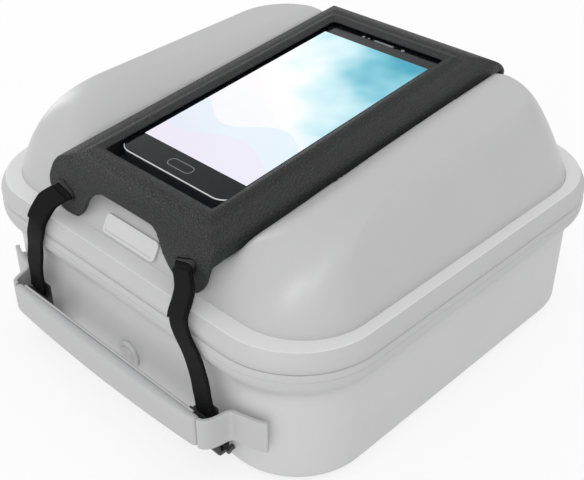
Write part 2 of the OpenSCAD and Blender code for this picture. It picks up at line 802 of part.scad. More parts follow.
module zip_slider(y) {
    body_h = 8;
    tongue_l = slider_l * 0.6;
    tongue_h = groove_h - 2 * play;
    tongue = rim_out - coil_in - coil_t;
    lug_z = pull_w / 2 - lug_t;
    color(steel) translate([-slider_x, y, zip_z]) difference() {
        union() {
            translate([-slider_t, -slider_l / 2, -body_h / 2]) cube([slider_t, slider_l, body_h]);
            translate([-0.5, -tongue_l / 2, -tongue_h / 2]) cube([0.5 + tongue, tongue_l, tongue_h]);
            for (s = [-1, 1]) translate([-slider_t - lug_reach, -lug_reach / 2, s * (lug_z + lug_t / 2) - lug_t / 2])
                cube([lug_reach + 0.5, lug_reach, lug_t]);
        }
        translate([slider_x - pull_x, 0, 0]) cylinder(d = pin_d + 2 * pin_play, h = 2 * body_h, center = true);
    }
}

// The pull lies along the zip and points the way its slider opens
module zip_pull(y, way) {
    neck_w = 2 * (pull_w / 2 - lug_t) - 2 * play;
    color(steel) translate([-pull_x, y, zip_z]) {
        cylinder(d = pin_d, h = pull_w, center = true);
        mirror([0, way < 0 ? 1 : 0, 0]) difference() {
            union() {
                cylinder(d = pin_d + 1.2, h = neck_w, center = true);
                translate([-pull_t / 2, 0, -neck_w / 2]) cube([pull_t, lug_reach + 2, neck_w]);
                translate([-pull_t / 2, lug_reach + 1, -pull_w / 2]) cube([pull_t, pull_l - lug_reach - 1 - pull_w / 2, pull_w]);
                translate([0, pull_l - pull_w / 2, 0]) rotate([0, 90, 0]) cylinder(d = pull_w, h = pull_t, center = true);
            }
            translate([0, pull_l - pull_w / 2, 0]) rotate([0, 90, 0]) cylinder(d = pull_w * 0.5, h = 2 * pull_t, center = true);
        }
    }
}

module zip_slider_a() {
    zip_slider(-slider_rest);
}
module zip_slider_b() {
    zip_slider(slider_rest);
}
module zip_pull_a() {
    zip_pull(-slider_rest, -1);
}
module zip_pull_b() {
    zip_pull(slider_rest, 1);
}

base_shell();
base_plate();
base_pad();
tank_ring();
ring_screws();
base_rim();
zip_tape_lower();
zip_coil_lower();
hinge_roll();
cable_port();
handle_tab_left();
handle_tab_right();
handle_webbing_left();
handle_webbing_right();
anchor_loops();
lid_shell();
lid_rim();
zip_tape_upper();
zip_coil_upper();
hinge_leaf();
badge_plate();
pouch_base();
pouch_frame();
window_film();
ear_eyelets();
phone_body();
phone_glass();
front_strap_left();
front_strap_right();
front_hook_left();
front_hook_right();
rear_strap_left();
rear_strap_right();
rear_hooks();
handle_grip();
zip_slider_a();
zip_pull_a();
zip_slider_b();
zip_pull_b();
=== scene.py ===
from math import atan, cos, exp, pi, radians, sin, tan

import bmesh
import bpy
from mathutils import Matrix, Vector


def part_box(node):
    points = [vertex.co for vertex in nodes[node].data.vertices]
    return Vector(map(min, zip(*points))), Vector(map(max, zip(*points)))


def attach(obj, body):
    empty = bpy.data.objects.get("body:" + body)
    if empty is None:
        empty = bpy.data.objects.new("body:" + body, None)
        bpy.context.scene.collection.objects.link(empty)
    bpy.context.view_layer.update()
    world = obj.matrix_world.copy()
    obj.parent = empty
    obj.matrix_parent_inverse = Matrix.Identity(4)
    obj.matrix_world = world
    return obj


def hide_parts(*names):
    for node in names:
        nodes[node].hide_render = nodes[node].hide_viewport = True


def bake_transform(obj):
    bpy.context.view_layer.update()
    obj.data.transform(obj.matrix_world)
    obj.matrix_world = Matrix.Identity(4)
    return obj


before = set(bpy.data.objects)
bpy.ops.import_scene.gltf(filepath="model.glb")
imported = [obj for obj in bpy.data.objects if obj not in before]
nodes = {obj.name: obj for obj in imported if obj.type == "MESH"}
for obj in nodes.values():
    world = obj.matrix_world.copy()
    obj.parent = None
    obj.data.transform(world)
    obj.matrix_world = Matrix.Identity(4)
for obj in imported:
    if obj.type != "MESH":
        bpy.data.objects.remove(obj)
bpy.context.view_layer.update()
scene = bpy.context.scene

# Sizes in millimetres: the bag's own, as in its source, and those of its finer pieces
MM = 0.001
TUB_W, TUB_L, CORNER_R = 202, 201, 34
ZIP_Z, RIM_OUT, GROOVE_LOW, GROOVE_HIGH = 61.5, 5.8, 60.2, 62.8
LEDGE_Z, LEDGE_OUT = 70, 2.8
FOOT_W, FOOT_L, FOOT_R, SKIRT_Z, WALL = 197.6, 191, 31.5, 63.1, 2.4
LID_H, LID_SLOPE, LEAN_SIDE, LEAN_FRONT, LEAN_FAR = 36, 2.8, 10, 14, 15
ROUND_SIDE, ROUND_FRONT, ROUND_FAR, SHOULDER_FRONT, SHOULDER_FAR, PULL = 7, 42, 5.5, 12, 31, 0.7
VIEW_Z, VIEW_SLOPE, VIEW_BACK = 104, radians(6.3), 1.6
CHANNEL_X, CHANNEL_DROP, CHANNEL_STEP, STEP_RUN, BANK_RISE, BANK_SOFT = 51.0, 9.2, 5.0, 1.8, 0.55, 5.0
PHONE_W, PHONE_L, PHONE_R, GLASS_T = 70, 142, 9, 0.9
DISPLAY_X, DISPLAY_NEAR, DISPLAY_FAR, PRINT_LIFT, KEY_Y, SPEAKER_Y = 31.5, 57.5, 56.5, 0.03, -64.4, 63.2
WINDOW_X, WINDOW_NEAR, WINDOW_FAR = 33.3, 77, 65
STRAP_W, STRAP_T, STRAP_END_Y, STRAP_END_Z, STRAP_SWAY = 10, 1.6, 107.2, 26.2, 4.6
SLOT_X, FRONT_SLOT, REAR_SLOT = 38, (-96.06, 82.91), (88.42, 103.27)
HOOK_X, HOOK_TOP, HOOK_W = 56, 33.5, 13.2
GRIP_L, GRIP_H, GRIP_T, GRIP_Y, GRIP_Z, BAND_H, BAND_T = 122, 15.6, 5, 112.5, 25, 15, 2
CROWN_OUT, CROWN_DOWN, SEAM_IN, SEAM_R, SEAM_X = 1.0, 2.2, 1.7, 0.55, 57
RIM_Y, HINGE_L, HINGE_Y = 106.3, 76, 107.4
BADGE_W, BADGE_H, BADGE_T, BADGE_R, BADGE_DOWN = 33, 8.5, 1.2, 2.0, 3.0
TAPE_T, TAPE_OUT, COIL_OUT, COIL_PITCH = 0.7, 0.5, 2.25, 1.7
BAND_IN, BAND_FOOT = 1.0, 42.0


# Working by hand: one piece at a time is picked, shaped and named

def let_go():
    if bpy.context.object and bpy.context.object.mode != "OBJECT":
        bpy.ops.object.mode_set(mode="OBJECT")
    bpy.ops.object.select_all(action="DESELECT")


def pick(piece):
    let_go()
    piece.select_set(True)
    bpy.context.view_layer.objects.active = piece


def named(name):
    piece = bpy.context.object
    piece.name = piece.data.name = name
    return piece


def opened(piece):
    pick(piece)
    bpy.ops.object.mode_set(mode="EDIT")
    return bmesh.from_edit_mesh(piece.data)


def closed(piece):
    bmesh.update_edit_mesh(piece.data)
    bpy.ops.object.mode_set(mode="OBJECT")
    return piece


def finished(piece, kind, **settings):
    pick(piece)
    modifier = piece.modifiers.new(kind.title(), kind)
    for key, value in settings.items():
        setattr(modifier, key, value)
    bpy.ops.object.modifier_apply(modifier=modifier.name)
    return piece


def smoothed(piece, angle=35):
    pick(piece)
    bpy.ops.object.shade_smooth_by_angle(angle=radians(angle))
    return piece


def turned_out(piece):
    opened(piece)
    bpy.ops.mesh.select_all(action="SELECT")
    bpy.ops.mesh.remove_doubles(threshold=1e-6)
    bpy.ops.mesh.normals_make_consistent(inside=False)
    return closed(piece)


def moved(piece, move):
    mesh = opened(piece)
    for vert in mesh.verts:
        vert.co = move(vert.co)
    return closed(piece)


def copied(piece, name, move):
    pick(piece)
    bpy.ops.object.duplicate()
    return moved(named(name), move)


def mirrored(piece, name):
    return turned_out(copied(piece, name, lambda co: Vector((-co.x, co.y, co.z))))


def joined(name, pieces):
    pick(pieces[0])
    for piece in pieces:
        piece.select_set(True)
    bpy.ops.object.join()
    return named(name)


def dressed(piece, body, slot, material, *stands_for):
    if material:
        piece.data.materials.clear()
        piece.data.materials.append(material)
    if body:
        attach(piece, body)
    if stands_for:
        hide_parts(*stands_for)
    return piece


def laid(loop, ring):
    for vert, place in zip(loop, ring):
        vert.co = Vector(place) * MM


def loft(name, rings, endless=False, first=False, last=False):
    """A circle laid on the first ring and extruded from ring to ring"""
    let_go()
    bpy.ops.mesh.primitive_circle_add(vertices=len(rings[0]))
    piece = named(name)
    mesh = opened(piece)
    loop = list(mesh.verts)
    laid(loop, rings[0])
    bpy.ops.mesh.select_all(action="SELECT")
    if first:
        bpy.ops.mesh.edge_face_add()
    for ring in rings[1:] + ([rings[0]] if endless else []):
        bpy.ops.mesh.extrude_edges_indiv()
        loop = [next(e.other_vert(v) for e in v.link_edges if e.other_vert(v).select) for v in loop]
        laid(loop, ring)
    if last:
        bpy.ops.mesh.edge_face_add()
    return turned_out(closed(piece))


def strip(name, long, wide, size, place):
    """A flat grid bent over its route, with a map in millimetres"""
    let_go()
    bpy.ops.mesh.primitive_grid_add(x_subdivisions=long, y_subdivisions=wide, size=1)
    piece = named(name)
    mesh = opened(piece)
    layer = mesh.loops.layers.uv.verify()
    for face in mesh.faces:
        for loop in face.loops:
            loop[layer].uv = ((loop.vert.co.x + 0.5) * size[0], (loop.vert.co.y + 0.5) * size[1])
    for vert in mesh.verts:
        vert.co = Vector(place(vert.co.x + 0.5, vert.co.y + 0.5)) * MM
    return closed(piece)


def block(name, size, middle, edges=0.5, rounds=3):
    """A cube at its size and place, with its edges rounded over"""
    let_go()
    bpy.ops.mesh.primitive_cube_add(size=1)
    piece = named(name)
    moved(piece, lambda co: Vector((co.x * size[0] + middle[0], co.y * size[1] + middle[1],
                                    co.z * size[2] + middle[2])) * MM)
    if edges:
        opened(piece)
        bpy.ops.mesh.select_all(action="SELECT")
        bpy.ops.mesh.bevel(offset=edges * MM, segments=rounds, affect="EDGES")
        closed(piece)
    return piece


def rounded_corners(piece, radius, segments):
    """Rounds the four upright edges of a plate"""
    mesh = opened(piece)
    bpy.ops.mesh.select_mode(type="EDGE")
    bpy.ops.mesh.select_all(action="DESELECT")
    for edge in mesh.edges:
        way = edge.verts[0].co - edge.verts[1].co
        edge.select_set(abs(way.z) > 0.9 * way.length)
    bpy.ops.mesh.bevel(offset=radius * MM, segments=segments, affect="EDGES")
    return closed(piece)


# Curves of the bag

def mix(a, b, share):
    return a + (b - a) * share


def smooth(share):
    share = max(0.0, min(1.0, share))
    return share * share * (3 - 2 * share)


def bezier(p, steps):
    p = [Vector(q) for q in p]
    shares = [k / steps for k in range(steps + 1)]
    return [p[0] * (1 - t) ** 3 + p[1] * 3 * (1 - t) ** 2 * t + p[2] * 3 * (1 - t) * t * t + p[3] * t ** 3
            for t in shares]


def spline(points, steps):
    p = [Vector(q) for q in points]
    curve = []
    for i in range(len(p) - 1):
        a, b, c, d = p[max(i - 1, 0)], p[i], p[i + 1], p[min(i + 2, len(p) - 1)]
        for t in [k / steps for k in range(steps)]:
            curve.append(0.5 * (2 * b + (c - a) * t + (2 * a - 5 * b + 4 * c - d) * t * t
                                + (3 * b - a - 3 * c + d) * t ** 3))
    return curve + [p[-1]]


def runner(points):
    """A place on a line by the share of its length, and its length"""
    marks = [0.0]
    for a, b in zip(points, points[1:]):
        marks.append(marks[-1] + (b - a).length)

    def at(share):
        far = max(0.0, min(1.0, share)) * marks[-1]
        k = next((i for i in range(1, len(marks)) if marks[i] >= far - 1e-9), len(marks) - 1)
        return mix(points[k - 1], points[k], (far - marks[k - 1]) / max(marks[k] - marks[k - 1], 1e-9))
    return at, marks[-1]


CORNER, END, SIDE = 18, 64, 24


def around(hx, near, far, r_near, r_far):
    """A ring with round corners, anticlockwise from the far end of the +X side"""
    def arc(x, y, r, start):
        return [(x + r * cos(radians(start + 90 * i / CORNER)), y + r * sin(radians(start + 90 * i / CORNER)))
                for i in range(CORNER + 1)]

    def line(a, b, count):
        return [(mix(a[0], b[0], i / count), mix(a[1], b[1], i / count)) for i in range(1, count)]
    return (arc(hx - r_far, far - r_far, r_far, 0) + line((hx - r_far, far), (r_far - hx, far), END)
            + arc(r_far - hx, far - r_far, r_far, 90) + line((-hx, far - r_far), (-hx, r_near - near), SIDE)
            + arc(r_near - hx, r_near - near, r_near, 180) + line((r_near - hx, -near), (hx - r_near, -near), END)
            + arc(hx - r_near, r_near - near, r_near, 270) + line((hx, r_near - near), (hx, far - r_far), SIDE))


def wall_ring(out, height):
    """A ring round the tub wall; the height is a number or comes from each place"""
    ring = around(TUB_W / 2 + out, TUB_L / 2 + out, TUB_L / 2 + out, CORNER_R + out, CORNER_R + out)
    return [(x, y, height(x, y) if callable(height) else height) for x, y in ring]


def foot_ring(out, height):
    return [(x, y, height) for x, y in around(FOOT_W / 2 + out, FOOT_L / 2 + out, FOOT_L / 2 + out,
                                               FOOT_R + out, FOOT_R + out)]


def at_view(x, y, z):
    """A place in the frame of the phone's glass"""
    return Vector((x, -VIEW_BACK + y * cos(VIEW_SLOPE) - z * sin(VIEW_SLOPE),
                   VIEW_Z + y * sin(VIEW_SLOPE) + z * cos(VIEW_SLOPE)))


def shoulder(y):
    return LEDGE_Z + LID_H + y * tan(radians(LID_SLOPE))


# Effects that several finishes share

def put(tree, kind, inputs=None, **settings):
    made = tree.nodes.new("ShaderNode" + kind)
    for key, value in settings.items():
        setattr(made, key, value)
    for key, value in (inputs or {}).items():
        if isinstance(value, bpy.types.NodeSocket):
            tree.links.new(value, made.inputs[key])
        else:
            made.inputs[key].default_value = value
    return made


def effect(name, takes, gives):
    tree = bpy.data.node_groups.new(name, "ShaderNodeTree")
    for socket, kind in takes:
        tree.interface.new_socket(socket, in_out="INPUT", socket_type="NodeSocket" + kind)
    for socket, kind in gives:
        tree.interface.new_socket(socket, in_out="OUTPUT", socket_type="NodeSocket" + kind)
    return tree, tree.nodes.new("NodeGroupInput").outputs, tree.nodes.new("NodeGroupOutput").inputs


def math(tree, work, a, b=0.5, clamp=False):
    return put(tree, "Math", {0: a, 1: b}, operation=work, use_clamp=clamp).outputs[0]


def tinted(tree, share, dark, light):
    return put(tree, "Mix", {0: share, 6: dark, 7: light}, data_type="RGBA").outputs[2]


def make_drift():
    tree, takes, gives = effect("colour drift", [("Vector", "Vector"), ("Colour", "Color"), ("Amount", "Float"),
                                                 ("Scale", "Float")], [("Colour", "Color"), ("Cloud", "Float")])
    cloud = put(tree, "TexNoise", {"Vector": takes["Vector"], "Scale": takes["Scale"], "Detail": 4, "Roughness": 0.6})
    fade = math(tree, "MULTIPLY", cloud.outputs[0], takes["Amount"])
    dim = put(tree, "HueSaturation", {"Value": math(tree, "SUBTRACT", 1.0, fade), "Color": takes["Colour"]})
    tree.links.new(dim.outputs[0], gives["Colour"])
    tree.links.new(cloud.outputs[0], gives["Cloud"])
    return tree


def make_grain():
    tree, takes, gives = effect("moulded grain", [("Vector", "Vector"), ("Scale", "Float")], [("Height", "Float")])
    fine = put(tree, "TexNoise", {"Vector": takes["Vector"], "Scale": takes["Scale"], "Detail": 3, "Roughness": 0.65})
    cells = put(tree, "TexVoronoi", {"Vector": takes["Vector"], "Scale": math(tree, "MULTIPLY", takes["Scale"], 0.7)},
                feature="SMOOTH_F1")
    tree.links.new(math(tree, "ADD", fine.outputs[0], math(tree, "MULTIPLY", cells.outputs[0], 0.6)), gives["Height"])
    return tree


def make_hide():
    tree, takes, gives = effect("leather hide", [("Vector", "Vector"), ("Scale", "Float")],
                                [("Height", "Float"), ("Crease", "Float")])
    warp = put(tree, "TexNoise", {"Vector": takes["Vector"], "Scale": math(tree, "MULTIPLY", takes["Scale"], 0.35),
                                  "Detail": 2})
    bent = put(tree, "VectorMath", {0: takes["Vector"], 1: put(tree, "VectorMath", {
        0: warp.outputs[1], "Scale": 0.0012}, operation="SCALE").outputs[0]}, operation="ADD")
    pebble = put(tree, "TexVoronoi", {"Vector": bent.outputs[0], "Scale": takes["Scale"], "Randomness": 0.9},
                 feature="DISTANCE_TO_EDGE")
    crease = put(tree, "MapRange", {0: pebble.outputs[0], 1: 0.0, 2: 0.22, 3: 0.0, 4: 1.0},
                 interpolation_type="SMOOTHSTEP")
    pores = put(tree, "TexNoise", {"Vector": takes["Vector"], "Scale": math(tree, "MULTIPLY", takes["Scale"], 4.0),
                                   "Detail": 2})
    tree.links.new(math(tree, "ADD", crease.outputs[0], math(tree, "MULTIPLY", pores.outputs[0], 0.3)), gives["Height"])
    tree.links.new(crease.outputs[0], gives["Crease"])
    return tree


def make_weave():
    tree, takes, gives = effect("ribbed weave", [("Vector", "Vector"), ("Rib", "Float"), ("Thread", "Float")],
                                [("Height", "Float"), ("Gap", "Float")])
    split = put(tree, "SeparateXYZ", {0: takes["Vector"]})

    def wave(along, pitch, shift):
        turn = math(tree, "ADD", math(tree, "DIVIDE", math(tree, "MULTIPLY", along, 2 * pi), pitch), shift)
        return math(tree, "ADD", math(tree, "MULTIPLY", math(tree, "SINE", turn), 0.5), 0.5)
    lane = math(tree, "MULTIPLY", math(tree, "FLOOR", math(tree, "DIVIDE", split.outputs[1], takes["Thread"])), pi)
    ribs = wave(split.outputs[0], takes["Rib"], lane)
    threads = wave(split.outputs[1], takes["Thread"], -pi / 2)
    height = math(tree, "MULTIPLY", math(tree, "ADD", ribs, 0.35), math(tree, "POWER", threads, 0.5))
    tree.links.new(height, gives["Height"])
    tree.links.new(math(tree, "SUBTRACT", 1.0, math(tree, "MULTIPLY", height, 0.75), clamp=True), gives["Gap"])
    return tree


def make_scuff():
    tree, takes, gives = effect("light scuffs", [("Vector", "Vector"), ("Scale", "Float"), ("Amount", "Float")],
                                [("Mask", "Float")])
    drawn = put(tree, "Mapping", {"Vector": takes["Vector"], "Scale": (1, 0.25, 0.6), "Rotation": (0.4, 0.2, 0.7)})
    marks = put(tree, "TexNoise", {"Vector": drawn.outputs[0], "Scale": takes["Scale"], "Detail": 6, "Roughness": 0.75})
    edge = put(tree, "MapRange", {0: marks.outputs[0], 1: 0.56, 2: 0.74, 3: 0.0, 4: 1.0})
    tree.links.new(math(tree, "MULTIPLY", edge.outputs[0], takes["Amount"]), gives["Mask"])
    return tree


drift, grain, hide, weave, scuff = make_drift(), make_grain(), make_hide(), make_weave(), make_scuff()


# Finishes

def finish(name, **constants):
    material = bpy.data.materials.new(name)
    material.use_nodes = True
    tree = material.node_tree
    shader = tree.nodes["Principled BSDF"]
    for key, value in constants.items():
        shader.inputs[key.replace("_", " ").title().replace("Ior", "IOR")].default_value = value
    return material, tree, shader


def places(tree, mapped=False):
    return tree.nodes.new("ShaderNodeTexCoord").outputs["UV" if mapped else "Object"]


def bumped(tree, shader, height, distance):
    bump = put(tree, "Bump", {"Strength": 1.0, "Distance": distance, "Height": height})
    tree.links.new(bump.outputs[0], shader.inputs["Normal"])


def moulded(name, colour, rough, grain_scale=900, depth=0.00006, worn=0.25, shade=0.05, below=None):
    """Moulded plastic or foam: a fine grain, cloudy colour and light scuffs; below is the colour of its foot, painted
    paler to lift shade
    """
    material, tree, shader = finish(name)
    where = places(tree)
    body = (*colour, 1)
    # Painted light: towards its foot the colour fades to the paler one below, lifting the shade there
    if below:
        height = put(tree, "SeparateXYZ", {0: where}).outputs[2]
        share = put(tree, "MapRange", {0: height, 1: 0.043, 2: 0.057, 3: 0.0, 4: 1.0}, interpolation_type="SMOOTHSTEP")
        body = tinted(tree, share.outputs[0], (*below, 1), body)
    tone = put(tree, "Group", {"Vector": where, "Colour": body, "Amount": shade, "Scale": 22.0}, node_tree=drift)
    marks = put(tree, "Group", {"Vector": where, "Scale": 55.0, "Amount": worn}, node_tree=scuff)
    skin = put(tree, "Group", {"Vector": where, "Scale": float(grain_scale)}, node_tree=grain)
    pale = tuple(min(1.0, c * 1.12 + 0.012) for c in colour)
    tree.links.new(tinted(tree, math(tree, "MULTIPLY", marks.outputs["Mask"], 0.5), tone.outputs["Colour"], (*pale, 1)),
                   shader.inputs["Base Color"])
    matt = math(tree, "ADD", math(tree, "MULTIPLY", tone.outputs["Cloud"], 0.1), rough - 0.05)
    tree.links.new(math(tree, "ADD", matt, math(tree, "MULTIPLY", marks.outputs["Mask"], 0.12), clamp=True),
                   shader.inputs["Roughness"])
    bumped(tree, shader, skin.outputs["Height"], depth)
    return material


def leathered(name, colour, rough, scale, depth):
    material, tree, shader = finish(name)
    where = places(tree)
    skin = put(tree, "Group", {"Vector": where, "Scale": float(scale)}, node_tree=hide)
    tone = put(tree, "Group", {"Vector": where, "Colour": (*colour, 1), "Amount": 0.25, "Scale": 30.0}, node_tree=drift)
    marks = put(tree, "Group", {"Vector": where, "Scale": 70.0, "Amount": 0.5}, node_tree=scuff)
    deep = put(tree, "HueSaturation", {"Value": 0.72, "Color": tone.outputs["Colour"]})
    body = tinted(tree, skin.outputs["Crease"], deep.outputs[0], tone.outputs["Colour"])
    pale = tuple(c * 1.5 + 0.01 for c in colour)
    tree.links.new(tinted(tree, math(tree, "MULTIPLY", marks.outputs["Mask"], 0.4), body, (*pale, 1)),
                   shader.inputs["Base Color"])
    tree.links.new(math(tree, "SUBTRACT", rough + 0.12, math(tree, "MULTIPLY", skin.outputs["Crease"], 0.14)),
                   shader.inputs["Roughness"])
    bumped(tree, shader, skin.outputs["Height"], depth)
    return material


def woven(name, colour, rib, thread, depth, rough=0.8):
    material, tree, shader = finish(name, specular_ior_level=0.2)
    where = places(tree, mapped=True)
    cloth = put(tree, "Group", {"Vector": where, "Rib": rib, "Thread": thread}, node_tree=weave)
    tone = put(tree, "Group", {"Vector": places(tree), "Colour": (*colour, 1), "Amount": 0.3, "Scale": 60.0},
               node_tree=drift)
    deep = put(tree, "HueSaturation", {"Value": 0.35, "Color": tone.outputs["Colour"]})
    tree.links.new(tinted(tree, cloth.outputs["Gap"], tone.outputs["Colour"], deep.outputs[0]),
                   shader.inputs["Base Color"])
    tree.links.new(math(tree, "ADD", math(tree, "MULTIPLY", cloth.outputs["Gap"], 0.15), rough - 0.08),
                   shader.inputs["Roughness"])
    bumped(tree, shader, cloth.outputs["Height"], depth)
    return material


def metal(name, colour, rough):
    material, tree, shader = finish(name, metallic=1.0)
    where = places(tree)
    marks = put(tree, "Group", {"Vector": where, "Scale": 220.0, "Amount": 0.8}, node_tree=scuff)
    tone = put(tree, "Group", {"Vector": where, "Colour": (*colour, 1), "Amount": 0.18, "Scale": 90.0}, node_tree=drift)
    tree.links.new(tone.outputs["Colour"], shader.inputs["Base Color"])
    tree.links.new(math(tree, "ADD", math(tree, "MULTIPLY", marks.outputs["Mask"], 0.2), rough),
                   shader.inputs["Roughness"])
    return material


def dotted(name, colour, rough, scale, depth):
    """Rubber with small moulded studs against slipping"""
    material, tree, shader = finish(name)
    where = places(tree)
    studs = put(tree, "TexVoronoi", {"Vector": where, "Scale": scale, "Randomness": 0.0}, feature="F1")
    raised = put(tree, "MapRange", {0: studs.outputs[0], 1: 0.25, 2: 0.42, 3: 1.0, 4: 0.0},
                 interpolation_type="SMOOTHSTEP")
    tone = put(tree, "Group", {"Vector": where, "Colour": (*colour, 1), "Amount": 0.3, "Scale": 40.0}, node_tree=drift)
    pale = tuple(c * 1.6 + 0.01 for c in colour)
    tree.links.new(tinted(tree, math(tree, "MULTIPLY", raised.outputs[0], 0.4), tone.outputs["Colour"], (*pale, 1)),
                   shader.inputs["Base Color"])
    tree.links.new(math(tree, "SUBTRACT", rough, math(tree, "MULTIPLY", raised.outputs[0], 0.15)),
                   shader.inputs["Roughness"])
    bumped(tree, shader, raised.outputs[0], depth)
    return material


def clear_film():
    material, tree, shader = finish("clear film", base_color=(0.004, 0.005, 0.006, 1), alpha=0.015,
                                    specular_ior_level=0.0)
    haze = put(tree, "TexNoise", {"Vector": places(tree), "Scale": 25.0, "Detail": 1})
    tree.links.new(math(tree, "ADD", math(tree, "MULTIPLY", haze.outputs[0], 0.1), 0.05), shader.inputs["Roughness"])
    return material


def dark_glass():
    material, tree, shader = finish("dark cover glass", base_color=(0.004, 0.005, 0.007, 1), specular_ior_level=0.3)
    smear = put(tree, "TexNoise", {"Vector": places(tree), "Scale": 18.0, "Detail": 1})
    tree.links.new(math(tree, "ADD", math(tree, "MULTIPLY", smear.outputs[0], 0.06), 0.08), shader.inputs["Roughness"])
    return material


def lit_display():
    """A plain lit screen: a soft wash from rose to white to sea blue, with broad low dunes"""
    material, tree, shader = finish("lit display", base_color=(0.0, 0.0, 0.0, 1), roughness=0.12, emission_strength=1.0)
    split = put(tree, "SeparateXYZ", {0: places(tree, mapped=True)})
    across, along = split.outputs[0], split.outputs[1]
    cloud = put(tree, "TexNoise", {"Vector": places(tree, mapped=True), "Scale": 0.035, "Detail": 2})
    slant = math(tree, "ADD", math(tree, "MULTIPLY", across, 0.006), math(tree, "MULTIPLY", along, 0.0055))
    slant = math(tree, "ADD", slant, math(tree, "MULTIPLY", math(tree, "SUBTRACT", cloud.outputs[0], 0.5), 0.5))
    wash = put(tree, "ValToRGB", {0: slant})
    ramp = wash.color_ramp
    ramp.elements[0].position, ramp.elements[0].color = 0.08, (0.93, 0.74, 0.84, 1)
    ramp.elements[1].position, ramp.elements[1].color = 0.95, (0.03, 0.36, 0.50, 1)
    for place, colour in [(0.30, (0.98, 0.92, 0.96, 1)), (0.50, (0.97, 0.99, 1.0, 1)),
                          (0.66, (0.62, 0.87, 0.93, 1)), (0.82, (0.20, 0.58, 0.70, 1))]:
        ramp.elements.new(place).color = colour
    colour = wash.outputs[0]
    for height, pitch, swing, shift, tint in [(46, 70, 7, 0.4, (0.86, 0.94, 0.98, 1)),
                                              (32, 52, 6, 2.1, (0.62, 0.80, 0.93, 1)),
                                              (17, 61, 5, 4.0, (0.90, 0.76, 0.90, 1))]:
        crest = math(tree, "ADD", math(tree, "MULTIPLY", math(tree, "SINE", math(tree, "ADD", math(
            tree, "DIVIDE", math(tree, "MULTIPLY", across, 2 * pi), pitch), shift)), swing), height)
        under = put(tree, "MapRange", {0: math(tree, "SUBTRACT", crest, along), 1: 0.0, 2: 0.6, 3: 0.0, 4: 0.45})
        colour = tinted(tree, under.outputs[0], colour, tint)
    tree.links.new(colour, shader.inputs["Emission Color"])
    return material


shell_grey = moulded("pale moulded lid", (0.475, 0.475, 0.48), 0.32, depth=0.00003)
# The tub is painted paler than the lid's same moulding, to lift the shade on its walls under the rim and behind the
# grip
tub_grey_with_painted_lift = moulded("pale moulded tub painted paler against shade", (0.54, 0.54, 0.545), 0.4, depth=0.00003)
# The rim fades at its foot to the tub's paler grey: painted light that lifts the shade under the rim
rim_grey = moulded("pale foam rim", (0.475, 0.475, 0.48), 0.45, grain_scale=1300, depth=0.00004,
                   below=(0.54, 0.54, 0.545))
lining_grey = moulded("grey lining", (0.30, 0.30, 0.31), 0.8, grain_scale=700, depth=0.00015, worn=0.1)
handle_grey = moulded("pale rubberised band", (0.455, 0.455, 0.46), 0.55, grain_scale=1500, depth=0.00008)
# The ledge's up-facing faces: partly a paler foam, partly painted light that the flat top catches
ledge_grey_with_painted_light = moulded("paler foam ledge with painted top light", (0.68, 0.68, 0.685), 0.5, grain_scale=1300, depth=0.00005)
badge_grey = moulded("satin plate", (0.59, 0.59, 0.595), 0.35, grain_scale=1400, depth=0.00008)
pouch_black = leathered("grained pouch skin", (0.015, 0.0155, 0.017), 0.47, 760, 0.00028)
webbing_black = woven("black webbing", (0.0055, 0.0055, 0.006), 1.1, 0.7, 0.00016)
tape_black = woven("black zip tape", (0.020, 0.020, 0.022), 0.8, 0.6, 0.00012)
hard_black = moulded("hard black plastic", (0.017, 0.017, 0.018), 0.42, grain_scale=1800, depth=0.00003, shade=0.2)
rubber_black = dotted("studded rubber", (0.022, 0.022, 0.023), 0.85, 260.0, 0.0005)
board_black = moulded("stiff board", (0.035, 0.035, 0.038), 0.85, grain_scale=600, depth=0.0002, shade=0.3)
steel = metal("plain steel", (0.60, 0.60, 0.61), 0.28)
dark_steel = metal("blackened steel", (0.12, 0.12, 0.125), 0.35)
thread_grey = moulded("dark grey thread", (0.07, 0.07, 0.074), 0.7, grain_scale=2500, depth=0.00004)
coil_black = moulded("black nylon coil", (0.02, 0.02, 0.022), 0.4, grain_scale=2000, depth=0.00002)
phone_dark = moulded("dark phone case", (0.02, 0.022, 0.028), 0.3, grain_scale=3000, depth=0.00001, worn=0.1)
bezel_dark = dark_glass()
key_grey = moulded("key outline", (0.22, 0.23, 0.25), 0.25, grain_scale=3000, depth=0.000005)
# Painted highlight: the pale strip along the near edge of the phone's glass
painted_edge_highlight = moulded("painted highlight on the glass edge", (0.70, 0.70, 0.71), 0.3, grain_scale=3000, depth=0.000005, worn=0.1)
film, display = clear_film(), lit_display()


# Lid

def channel_floor(x, y):
    """Height of the channel for the pouch's tray: a flat floor, a step up beside it and gentle banks"""
    out = abs(x) - CHANNEL_X
    bank = CHANNEL_STEP * smooth(out / STEP_RUN) + BANK_RISE * max(0.0, out - STEP_RUN / 2)
    return VIEW_Z + (y + VIEW_BACK) * tan(VIEW_SLOPE) + (bank - CHANNEL_DROP) / cos(VIEW_SLOPE)


def lower(a, b, soft):
    """The lower of two heights, with a round transition"""
    share = max(0.0, min(1.0, 0.5 + 0.5 * (b - a) / soft))
    return mix(b, a, share) - soft * share * (1 - share)


